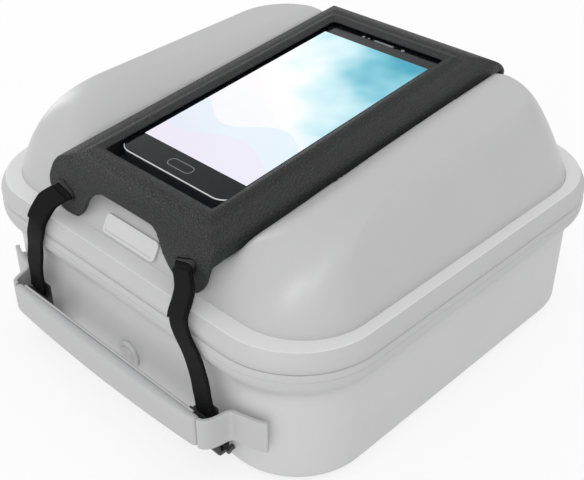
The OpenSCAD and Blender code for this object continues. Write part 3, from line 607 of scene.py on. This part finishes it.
def make_lid():
    """The moulded lid: a dome whose top sinks into the channel for the pouch's tray, with an even wall"""
    hx, hy = FOOT_W / 2, FOOT_L / 2
    sx, near, far = hx - LEAN_SIDE, hy - LEAN_FRONT, hy - LEAN_FAR
    ease = 0.6 * ROUND_SIDE
    foot = around(hx, hy, hy, FOOT_R, FOOT_R)
    crease = around(sx, near, far, SHOULDER_FRONT, SHOULDER_FAR)

    def top_ring(inwards):
        return around(sx - ROUND_SIDE - inwards, near - ROUND_FRONT - inwards, far - ROUND_FAR - inwards,
                      max(0.5, SHOULDER_FRONT - ease - inwards), max(0.5, SHOULDER_FAR - ease - inwards))
    lines = []
    for f, c, t in zip(foot, crease, top_ring(0)):
        base, bend, top = Vector((*f, LEDGE_Z)), Vector((*c, shoulder(c[1]))), Vector((*t, shoulder(t[1])))
        lines.append(bezier([base, mix(base, bend, PULL), mix(top, bend, PULL), top], 28))
    rings = [[(x, y, SKIRT_Z) for x, y in foot]] + [list(ring) for ring in zip(*lines)]
    inner = [1.2 * k for k in range(1, 29)] + [37, 41, 45, 49, 53]
    rings += [[(x, y, shoulder(y)) for x, y in top_ring(d)] for d in inner]
    lid = loft("lid_skin", rings, last=True)
    moved(lid, lambda co: Vector((co.x, co.y, lower(co.z / MM, channel_floor(co.x / MM, co.y / MM), BANK_SOFT) * MM)))
    for material in (shell_grey, lining_grey):
        lid.data.materials.append(material)
    finished(lid, "SOLIDIFY", thickness=WALL * MM, offset=-1, material_offset=1, material_offset_rim=0)
    dressed(smoothed(lid, 60), "lid", "shell", None, "lid_shell")


def lip_gap(x):
    """The rims' lips meet over the zip, and stay open where the sliders run"""
    return mix(0.16, 1.3, smooth((-x - 90) / 9))


def make_lid_band():
    """The lid's foam band, with the flat ledge round the dome's foot; its top is partly paler foam, partly painted
    light
    """
    rings = [wall_ring(BAND_IN, GROOVE_HIGH), wall_ring(3.7, GROOVE_HIGH),
             wall_ring(3.9, lambda x, y: ZIP_Z + lip_gap(x) + 0.25)]
    rings += [wall_ring(o, lambda x, y, d=d: ZIP_Z + lip_gap(x) + d)
              for o, d in [(4.1, 0.05), (4.6, 0), (5.0, 0.03), (5.25, 0.16), (5.42, 0.42)]]
    face = bezier([(5.55, GROOVE_HIGH + 0.5), (RIM_OUT + 0.25, LEDGE_Z - 4.6), (4.6, LEDGE_Z - 2.6),
                   (3.25, LEDGE_Z - 0.5)], 16)
    rings += [wall_ring(p.x, p.y) for p in face]
    rings += [wall_ring(LEDGE_OUT + o, LEDGE_Z - d) for o, d in [(0.3, 0.26), (0.12, 0.08), (-0.1, 0), (-0.7, 0)]]
    rings += [foot_ring(0.04, LEDGE_Z), foot_ring(0.04, LEDGE_Z - 3.4), wall_ring(BAND_IN, LEDGE_Z - 3.5)]
    band = loft("lid_band", rings, endless=True)
    for material in (rim_grey, ledge_grey_with_painted_light):
        band.data.materials.append(material)
    # Up-facing ledge faces take the paler grey, partly painted light on the flat top
    for face in band.data.polygons:
        face.material_index = 1 if face.normal.z > 0.9 and face.center.z > (LEDGE_Z - 0.5) * MM else 0
    dressed(smoothed(band, 40), "lid", "rim", None, "lid_rim")


def make_tub_band():
    """The tub's foam band, which swells out of the wall below the zip"""
    out = RIM_OUT
    rings = [wall_ring(BAND_IN, GROOVE_LOW - 8), wall_ring(0.1, GROOVE_LOW - 9), wall_ring(0.08, BAND_FOOT)]
    swell = bezier([(0.2, BAND_FOOT - 0.1), (0.6, 50.3), (out - 0.8, 50.6), (out - 0.1, 56.0)], 20)
    rings += [wall_ring(p.x, p.y) for p in swell]
    rings += [wall_ring(o, z) for o, z in [(out, 57.2), (out - 0.02, 57.9), (out - 0.3, 58.15), (out - 0.02, 58.4),
                                           (out - 0.05, 59.3), (out - 0.15, 60.0)]]
    rings += [wall_ring(o, lambda x, y, d=d: ZIP_Z - lip_gap(x) - d)
              for o, d in [(5.42, 0.6), (5.25, 0.3), (5.0, 0.08), (4.6, 0), (4.1, 0.05), (3.9, 0.25)]]
    rings += [wall_ring(3.7, GROOVE_LOW), wall_ring(BAND_IN, GROOVE_LOW)]
    band = loft("tub_band", rings, endless=True)
    dressed(smoothed(band, 40), "tub", "rim", rim_grey, "base_rim")


def make_badge():
    """A bare plate with a raised border, on the slope of the lid's front"""
    near = -FOOT_L / 2
    crease, flat = near + LEAN_FRONT, near + LEAN_FRONT + ROUND_FRONT
    base, bend, top = Vector((near, LEDGE_Z)), Vector((crease, shoulder(crease))), Vector((flat, shoulder(flat)))
    front = bezier([base, mix(base, bend, PULL), mix(top, bend, PULL), top], 16)
    run = (front[3] - front[1]).normalized()
    rise = Vector((-run.y, run.x))
    plate = block("badge_plate_bare", (BADGE_W, BADGE_H, BADGE_T), (0, 0, BADGE_T / 2 + 0.1), edges=0)
    rounded_corners(plate, BADGE_R, 6)
    mesh = opened(plate)
    bpy.ops.mesh.select_mode(type="FACE")
    bpy.ops.mesh.select_all(action="DESELECT")
    for face in mesh.faces:
        face.select_set(face.normal.z > 0.9)
    bpy.ops.mesh.inset(thickness=0.3 * MM)
    bpy.ops.mesh.inset(thickness=0.9 * MM)
    bpy.ops.mesh.inset(thickness=0.3 * MM, depth=-0.45 * MM)
    closed(plate)
    finished(plate, "BEVEL", width=0.18 * MM, segments=2, limit_method="ANGLE", angle_limit=radians(30))
    moved(plate, lambda co: Vector((co.x, *((front[2] - run * BADGE_DOWN) * MM + run * co.y + rise * co.z))))
    dressed(smoothed(plate), "lid", "badge", badge_grey, "badge_plate")


# Zip and hinge

def zip_line(out):
    """The zip's way round the bag, from the far end of one side to the other"""
    ring = around(TUB_W / 2 + out, TUB_L / 2 + out, TUB_L / 2 + out, CORNER_R + out, CORNER_R + out)
    start = 2 * CORNER + END
    return [Vector((x, y, 0)) for x, y in ring[start + 1:] + ring[:1]]


def make_zip():
    for name, low, high, body in [("zip_tape_lower", 52.1, 61.3, "tub"), ("zip_tape_upper", 61.7, 66.3, "lid")]:
        at, total = runner(zip_line(TAPE_OUT))
        tape = strip(name + "_cloth", 200, 3, (total, high - low),
                     lambda u, v: at(u) + Vector((0, 0, mix(low, high, v))))
        finished(tape, "SOLIDIFY", thickness=TAPE_T * MM, offset=0)
        dressed(smoothed(tape), body, "zip", tape_black, name)
    line = zip_line(COIL_OUT)
    total = runner(line)[1]
    for name, low, high, body, shift in [("zip_coil_lower", 60.3, 61.45, "tub", 0.0),
                                         ("zip_coil_upper", 61.55, 62.7, "lid", COIL_PITCH / 2)]:
        tooth = block(name + "_turns", (0.95, 2.3, high - low), (0.6 + shift, 0, (low + high) / 2), edges=0.3, rounds=1)
        let_go()
        bpy.ops.object.add(type="CURVE")
        way = bpy.context.object
        way.data.dimensions = "3D"
        track = way.data.splines.new("POLY")
        track.points.add(len(line) - 1)
        for point, place in zip(track.points, line):
            point.co = (*(place * MM), 1)
        finished(tooth, "ARRAY", count=int((total - 1.5) / COIL_PITCH), use_relative_offset=False,
                 use_constant_offset=True, constant_offset_displace=(COIL_PITCH * MM, 0, 0))
        finished(tooth, "CURVE", object=way, deform_axis="POS_X")
        bpy.data.objects.remove(way)
        dressed(smoothed(tooth), body, "zip", coil_black, name)


def make_hinge():
    """The cloth strip that joins the lid's rim to the tub's"""
    route = spline([(RIM_Y + 0.55, 52.6), (RIM_Y + 0.75, 56), (RIM_Y + 0.7, 59.5), (RIM_Y + 1.3, 61), (RIM_Y + 1.3, 62),
                    (RIM_Y + 0.7, 63.4), (RIM_Y + 0.75, 65.4), (RIM_Y + 0.1, 67.6)], 6)
    at, total = runner(route)
    cloth = strip("hinge_cloth", 30, 24, (HINGE_L, total),
                  lambda u, v: Vector((mix(-HINGE_L / 2, HINGE_L / 2, u), *at(v))))
    finished(cloth, "SOLIDIFY", thickness=TAPE_T * MM, offset=0)
    dressed(smoothed(cloth, 60), None, "zip", tape_black, "hinge_roll", "hinge_leaf")
    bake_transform(cloth)
    count, margin = 23, 2.8
    pitch = (HINGE_L - 2 * margin) / (count - 1)
    for name, body, y, z in [("hinge_stitches_lower", "tub", RIM_Y + 1.0, 53.9),
                             ("hinge_stitches_upper", "lid", RIM_Y + 0.86, 66.2)]:
        row = block(name, (2.1, 0.5, 0.5), (margin - HINGE_L / 2, y, z), edges=0.2, rounds=2)
        finished(row, "ARRAY", count=count, use_relative_offset=False, use_constant_offset=True,
                 constant_offset_displace=(pitch * MM, 0, 0))
        dressed(smoothed(row), body, "zip", thread_grey)


# Pouch and phone

def make_pouch():
    """The moulded cover: a copy of its solid, its edges worked soft, with a ridge and a valley round the window"""
    cover = bpy.data.objects.new("pouch_cover", nodes["pouch_frame"].data.copy())
    scene.collection.objects.link(cover)
    turned_out(cover)
    pick(cover)
    cover.data.remesh_voxel_size = 0.7 * MM
    bpy.ops.object.voxel_remesh()
    finished(cover, "SMOOTH", factor=0.5, iterations=7)
    mesh = opened(cover)
    up = Vector((0, -sin(VIEW_SLOPE), cos(VIEW_SLOPE)))
    for vert in mesh.verts:
        x, y, z = [c / MM for c in vert.co]
        along = (y + VIEW_BACK) * cos(VIEW_SLOPE) + (z - VIEW_Z) * sin(VIEW_SLOPE)
        edge = max(abs(x) - WINDOW_X, -WINDOW_NEAR - along, along - WINDOW_FAR)
        ridge, valley = exp(-((edge - 3.4) / 1.5) ** 2), exp(-((edge - 7.0) / 1.8) ** 2)
        if vert.normal.dot(up) > 0.35:
            vert.co += up * MM * (0.35 * ridge - 0.8 * valley)
    closed(cover)
    dressed(smoothed(cover, 80), "lid", "pouch", pouch_black, "pouch_frame")


def flat_pill(name, width, height, middle, lift, border=None):
    """A flat pill on the phone's face, or its outline when a border is given"""
    def pill(w, h):
        r = h / 2
        return [at_view(middle[0] + (w / 2 - r) * (1 if cos(a) > 0 else -1) + r * cos(a), middle[1] + r * sin(a), lift)
                for a in [2 * pi * (i + 0.5) / 40 for i in range(40)]]
    if border:
        return loft(name, [pill(width, height), pill(width - 2 * border, height - 2 * border)])
    return loft(name, [pill(width, height), pill(width * 0.98, height * 0.9)], last=True)


def make_phone():
    """The phone's face with its display, key and speaker, and a painted highlight along the glass's near edge"""
    face = block("phone_face", (PHONE_W, PHONE_L, GLASS_T), (0, 0, -GLASS_T / 2), edges=0)
    rounded_corners(face, PHONE_R, 12)
    finished(face, "BEVEL", width=0.4 * MM, segments=4, limit_method="ANGLE", angle_limit=radians(40))
    moved(face, lambda co: at_view(*(co / MM)) * MM)
    dressed(smoothed(face), "lid", "screen", bezel_dark, "phone_glass")
    screen = strip("phone_display", 12, 20, (2 * DISPLAY_X, DISPLAY_NEAR + DISPLAY_FAR),
                   lambda u, v: at_view(mix(-DISPLAY_X, DISPLAY_X, u), mix(-DISPLAY_NEAR, DISPLAY_FAR, v), PRINT_LIFT))
    dressed(screen, "lid", "screen", display)
    key = flat_pill("home_key", 14.5, 5.0, (0, KEY_Y), PRINT_LIFT, border=0.35)
    slit = flat_pill("ear_speaker", 12, 1.3, (0, SPEAKER_Y), PRINT_LIFT)
    dots = [flat_pill("face_sensor", size, size, (x, SPEAKER_Y), PRINT_LIFT)
            for x, size in [(-12.5, 1.7), (-9.2, 1.2), (11.5, 1.9)]]
    for piece in (key, joined("ear_speaker", [slit] + dots)):
        dressed(piece, "lid", "screen", key_grey)
    # A pale strip along the near edge only, a painted highlight on the glass's edge
    section = [(-0.02, -0.4), (-0.02, -0.3), (0.06, -0.12), (0.2, 0.03), (0.36, 0.03), (0.42, -0.1), (0.25, -0.35)]
    loops = [around(PHONE_W / 2 - d, PHONE_L / 2 - d, PHONE_L / 2 - d, PHONE_R - d, PHONE_R - d) for d, lift in section]
    start = 2 * CORNER + END + SIDE + CORNER // 2
    run = range(start, start + CORNER + END + 1)
    rings = [[at_view(*loop[i], lift) for loop, (d, lift) in zip(loops, section)] for i in run]
    edge_piece = loft("phone_edge_painted_highlight", rings, first=True, last=True)
    dressed(smoothed(edge_piece, 60), "lid", "screen", painted_edge_highlight)


# Straps

def splay(slot):
    """Lean of a strap's plane, from its slot out to its hook"""
    return atan((HOOK_X - SLOT_X) / (slot[1] - HOOK_TOP + 8))


def strap(name, slot, way, route, start=0.0, end=1.0, lift=0.0, thick=STRAP_T, sway=0.0):
    """Webbing in the leaning plane through its slot; the route's points are Y and the height"""
    lean = splay(slot)
    up, side = Vector((-sin(lean), 0, cos(lean))), Vector((cos(lean), 0, sin(lean)))
    at, total = runner(spline([(y, (z - slot[1]) / cos(lean)) for y, z in route], 10))

    def place(u, v):
        share = mix(start, end, u)
        run = at(share + 0.006) - at(share - 0.006)
        here = at(share) + Vector((-run.y, run.x)).normalized() * lift * way
        drift_out = sway * (smooth((share - 0.10) / 0.14) - 0.3 * exp(-((share - 0.42) / 0.09) ** 2)
                            - 0.65 * smooth((share - 0.72) / 0.28))
        return Vector((SLOT_X + drift_out, here.x, slot[1])) + up * here.y + side * (v - 0.5) * STRAP_W
    piece = strip(name, 90, 8, (total * (end - start), STRAP_W), place)
    finished(piece, "SOLIDIFY", thickness=thick * MM, offset=0)
    finished(piece, "BEVEL", width=0.3 * MM, segments=2, limit_method="ANGLE", angle_limit=radians(50))
    return smoothed(piece, 50)


def slot_loop(slot, way):
    """The turn through the slot, in thicknesses of the webbing"""
    return [(slot[0] + way * p * STRAP_T, slot[1] + q * STRAP_T)
            for p, q in [(-1.95, -2.7), (-2.05, -1.5), (-1, 0), (1, 0), (2.5, -1.6)]]


def rim_run(way):
    """The way down over both rims to the hook"""
    route = [(RIM_Y + 1.68, 69), (RIM_Y + 2.4, ZIP_Z), (RIM_Y + 1.32, 51.45), (STRAP_END_Y + 0.3, HOOK_TOP + 4.0),
             (STRAP_END_Y, HOOK_TOP), (STRAP_END_Y, STRAP_END_Z)]
    return [(way * y, z) for y, z in route]


def make_straps():
    """Webbing from the slots down to the hooks, each with a second ply where its end is folded back"""
    front = slot_loop(FRONT_SLOT, -1) + [(-104.5, 74.5)] + rim_run(-1)
    rear = slot_loop(REAR_SLOT, 1) + [(REAR_SLOT[0] + 8.5, 92.32), (RIM_Y - 1.6, 79)] + rim_run(1)
    right = strap("front_strap_right_web", FRONT_SLOT, -1, front, sway=STRAP_SWAY)
    ply = strap("front_strap_right_fold", FRONT_SLOT, -1, front, start=0.14, end=0.38, lift=STRAP_T * 0.8, thick=1.0,
                sway=STRAP_SWAY)
    right = joined("front_strap_right_web", [right, ply])
    left = mirrored(right, "front_strap_left_web")
    dressed(right, "lid", "webbing", webbing_black, "front_strap_right")
    dressed(left, "lid", "webbing", webbing_black, "front_strap_left")
    right = strap("rear_strap_right_web", REAR_SLOT, 1, rear)
    ply = strap("rear_strap_right_fold", REAR_SLOT, 1, rear, start=0.10, end=0.30, lift=STRAP_T * 0.95, thick=1.4)
    right = joined("rear_strap_right_web", [right, ply])
    left = mirrored(right, "rear_strap_left_web")
    for piece, node in [(right, "rear_strap_right"), (left, "rear_strap_left")]:
        dressed(piece, None, "webbing", webbing_black, node)
        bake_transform(piece)


def make_hooks():
    """Flat hooks behind the webbing's ends, each with a low pocket and a lip round the anchor's wire"""
    low, high = [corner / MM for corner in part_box("front_hook_right")]
    wall, front, base = -high.y, -low.y, low.z
    back, toe = front - 4.2, front - 2.8
    lip, top, pocket, brim = base + 4.6, 31.6, 25.6, 26.9
    profile = [(toe, base + 1), (toe - 1, base), (wall + 1, base), (wall, base + 1), (wall, lip), (wall + 1.3, lip),
               (wall + 1.3, base + 2.1), (back, base + 2.1), (back, top), (back + 0.9, top),
               (back + 1.0, pocket), (front - 1.0, pocket), (front - 0.9, brim), (front - 0.3, brim),
               (front, brim - 0.6), (front, base + 7)]
    ends = [[(HOOK_X + side * HOOK_W / 2, -y, z) for y, z in profile] for side in (-1, 1)]
    hook = loft("front_hook_right_plate", ends, first=True, last=True)
    finished(hook, "BEVEL", width=0.3 * MM, segments=3, limit_method="ANGLE", angle_limit=radians(30))
    smoothed(hook, 40)
    for piece, node in [(mirrored(hook, "front_hook_left_plate"), "front_hook_left"), (hook, "front_hook_right")]:
        dressed(piece, "lid", "hard_plastic", hard_black, node)


# Carry handle

def make_arms():
    """The bands from the corner tabs to the grip's ends"""
    centre = Vector((TUB_W / 2 - CORNER_R, CORNER_R - TUB_L / 2))
    on_tab, end_y, rise = CORNER_R + 0.3 + 1.5 * BAND_T, -GRIP_Y - GRIP_T / 2, 2.2

    def spoke(r, a):
        return centre + Vector((cos(radians(a)), sin(radians(a)))) * r
    route = spline([spoke(on_tab, a) for a in (-63, -67, -71, -75, -79, -83, -87)]
                   + [(67.4, -105.2), (66.2, -108.6), (64.9, -112.2), (63.1, -114.5), (GRIP_L / 2 + 0.1, end_y)], 8)
    at, total = runner(route)
    arm = strip("handle_arm_right", 60, 10, (total, BAND_H),
                lambda u, v: Vector((*at(u), GRIP_Z + rise * smooth(1.6 - 2 * u) + (v - 0.5) * BAND_H)))
    finished(arm, "SOLIDIFY", thickness=BAND_T * MM, offset=0)
    finished(arm, "BEVEL", width=0.7 * MM, segments=4, limit_method="ANGLE", angle_limit=radians(50))
    smoothed(arm, 50)
    arms = [(mirrored(arm, "handle_arm_left"), "handle_webbing_left", -1), (arm, "handle_webbing_right", 1)]
    for piece, node, side in arms:
        dressed(piece, None, "handle_band", handle_grey, node)
        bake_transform(piece)


def puffed(piece, pressure, cap):
    """Fills a closed skin from inside for a moment, and keeps every point near its place"""
    rest = [vert.co.copy() for vert in piece.data.vertices]
    cloth = piece.modifiers.new("Fill", "CLOTH")
    cloth.settings.use_pressure = True
    cloth.settings.uniform_pressure_force = pressure
    cloth.settings.effector_weights.gravity = 0
    for step in range(1, 21):
        scene.frame_set(step)
    pick(piece)
    bpy.ops.object.modifier_apply(modifier=cloth.name)
    scene.frame_set(1)
    for vert, place in zip(piece.data.vertices, rest):
        shift = vert.co - place
        if shift.length > cap * MM:
            vert.co = place + shift.normalized() * cap * MM


def make_grip():
    """The padded sleeve of the handle, with a sewn seam along its inner edges"""
    middle = (0, -GRIP_Y - GRIP_T / 2, GRIP_Z)
    grip = block("grip_sleeve", (GRIP_L + 0.4, GRIP_T - 0.8, GRIP_H - 0.6), middle, edges=1.9, rounds=5)
    pick(grip)
    grip.data.remesh_voxel_size = 1.1 * MM
    bpy.ops.object.voxel_remesh()
    puffed(grip, 4.0, 0.4)
    finished(grip, "SMOOTH", factor=0.5, iterations=3)

    def crowned(co):
        """The sleeve is fuller at its middle, outwards and along its lower edge"""
        fuller = max(0.0, 1 - (co.x / (0.5 * GRIP_L * MM)) ** 2)
        down, out = smooth((middle[2] - co.z / MM) / GRIP_H * 2), smooth((middle[1] - co.y / MM) / GRIP_T * 2)
        return co - Vector((0, CROWN_OUT * out, CROWN_DOWN * down)) * fuller * MM
    moved(grip, crowned)
    finished(grip, "SUBSURF", levels=1, render_levels=1)
    dressed(smoothed(grip, 80), "handle", "handle_band", handle_grey, "handle_grip")

    seams = []
    for top in (-1, 1):
        def bead(x, r):
            return [(x, middle[1] + SEAM_IN + r * cos(a), middle[2] + top * (GRIP_H / 2 - 0.75) + 0.8 * r * sin(a))
                    for a in [2 * pi * i / 12 for i in range(12)]]
        beads = [bead(mix(-SEAM_X, SEAM_X, i / 60), SEAM_R) for i in range(61)]
        seams.append(loft("grip_seam", beads, first=True, last=True))
    edge_piece = moved(joined("grip_seam", seams), crowned)
    dressed(smoothed(edge_piece, 50), "handle", "handle_band", handle_grey)


# Pieces of the frame that show as they are, with their finish and softened edges

def shown(node, material, edge=0.0):
    piece = nodes[node]
    piece.data.materials.clear()
    piece.data.materials.append(material)
    for face in piece.data.polygons:
        face.use_smooth = True
    piece.modifiers.new("Merge", "WELD").merge_threshold = 1e-6
    if edge:
        bevel = piece.modifiers.new("Edges", "BEVEL")
        bevel.width, bevel.segments, bevel.limit_method, bevel.angle_limit = edge * MM, 2, "ANGLE", radians(30)
    split = piece.modifiers.new("Creases", "EDGE_SPLIT")
    split.split_angle = radians(35)


def show_frame():
    shown("base_shell", tub_grey_with_painted_lift)
    shown("base_plate", board_black, 0.4)
    shown("base_pad", rubber_black, 0.3)
    shown("tank_ring", hard_black, 0.3)
    shown("ring_screws", steel, 0.2)
    shown("cable_port", tub_grey_with_painted_lift, 0.15)
    for node in ("handle_tab_left", "handle_tab_right"):
        shown(node, handle_grey, 0.6)
    shown("anchor_loops", dark_steel)
    shown("rear_hooks", hard_black, 0.4)
    shown("pouch_base", hard_black, 0.3)
    shown("window_film", film)
    shown("ear_eyelets", hard_black)
    shown("phone_body", phone_dark, 0.8)
    for node in ("zip_slider_a", "zip_slider_b", "zip_pull_a", "zip_pull_b"):
        shown(node, dark_steel, 0.25)


# Camera, floor and light, in metres

CAMERA_AT, CAMERA_AIM, CAMERA_LENS = (0.2747, -0.2825, 0.2974), (0.0522, -0.0545, 0.080), 60.77
FLOOR_GLOW, SKY_LIGHT, SKY_SEEN, LAMP_AIM = 0.72, 0.80, 1.0, (0, 0, 0.06)


def make_studio():
    """A white floor under a pale sky, two narrow lamps, a soft lift from the front, and the camera"""
    let_go()
    bpy.ops.mesh.primitive_plane_add(size=6)
    floor = named("studio_floor")
    material, tree, shader = finish("white floor", base_color=(0.9, 0.9, 0.9, 1), roughness=0.9)
    ray = tree.nodes.new("ShaderNodeLightPath")
    seen = math(tree, "MAXIMUM", ray.outputs["Is Camera Ray"], math(tree, "MAXIMUM", ray.outputs["Is Glossy Ray"],
                                                                 ray.outputs["Is Transmission Ray"]))
    glow = put(tree, "Emission", {"Color": (1, 1, 1, 1), "Strength": 1.0})
    both = put(tree, "MixShader", {0: math(tree, "MULTIPLY", seen, FLOOR_GLOW), 1: shader.outputs[0],
                                   2: glow.outputs[0]})
    tree.links.new(both.outputs[0], tree.nodes["Material Output"].inputs["Surface"])
    floor.data.materials.append(material)
    world = bpy.data.worlds.new("studio")
    scene.world = world
    world.use_nodes = True
    tree = world.node_tree
    ray = tree.nodes.new("ShaderNodeLightPath")
    level = put(tree, "MapRange", {0: ray.outputs["Is Camera Ray"], 3: SKY_LIGHT, 4: SKY_SEEN})
    background = tree.nodes["Background"]
    background.inputs["Color"].default_value = (1, 1, 1, 1)
    tree.links.new(level.outputs[0], background.inputs["Strength"])
    lamps = [("key", (0.78, -0.82, 1.1), 0.14, 1.2, 3.2), ("left_rim", (-1.4, 0.2, 0.5), 0.2, 0.9, 2.5)]
    for name, place, wide, tall, power in lamps:
        lamp = bpy.data.objects.new(name, bpy.data.lights.new(name, "AREA"))
        lamp.data.shape, lamp.data.size, lamp.data.size_y, lamp.data.energy = "RECTANGLE", wide, tall, power
        lamp.location = place
        lamp.rotation_euler = (Vector(LAMP_AIM) - lamp.location).to_track_quat("-Z", "Y").to_euler()
        scene.collection.objects.link(lamp)
    lift = bpy.data.objects.new("front_lift", bpy.data.lights.new("front_lift", "SUN"))
    lift.data.energy, lift.data.angle, lift.data.use_shadow = 0.8, 0.5, False
    lift.rotation_euler = Vector((-0.15, 0.8, -0.58)).to_track_quat("-Z", "Y").to_euler()
    scene.collection.objects.link(lift)
    camera = bpy.data.objects.new("camera", bpy.data.cameras.new("camera"))
    camera.data.lens, camera.data.sensor_width, camera.data.clip_start = CAMERA_LENS, 36, 0.01
    camera.location = CAMERA_AT
    camera.rotation_euler = (Vector(CAMERA_AIM) - camera.location).to_track_quat("-Z", "Y").to_euler()
    scene.collection.objects.link(camera)
    scene.camera = camera
    scene.view_settings.view_transform = "Standard"


make_studio()
make_lid()
make_lid_band()
make_tub_band()
make_badge()
make_zip()
make_hinge()
make_pouch()
make_phone()
make_straps()
make_hooks()
make_arms()
make_grip()
show_frame()
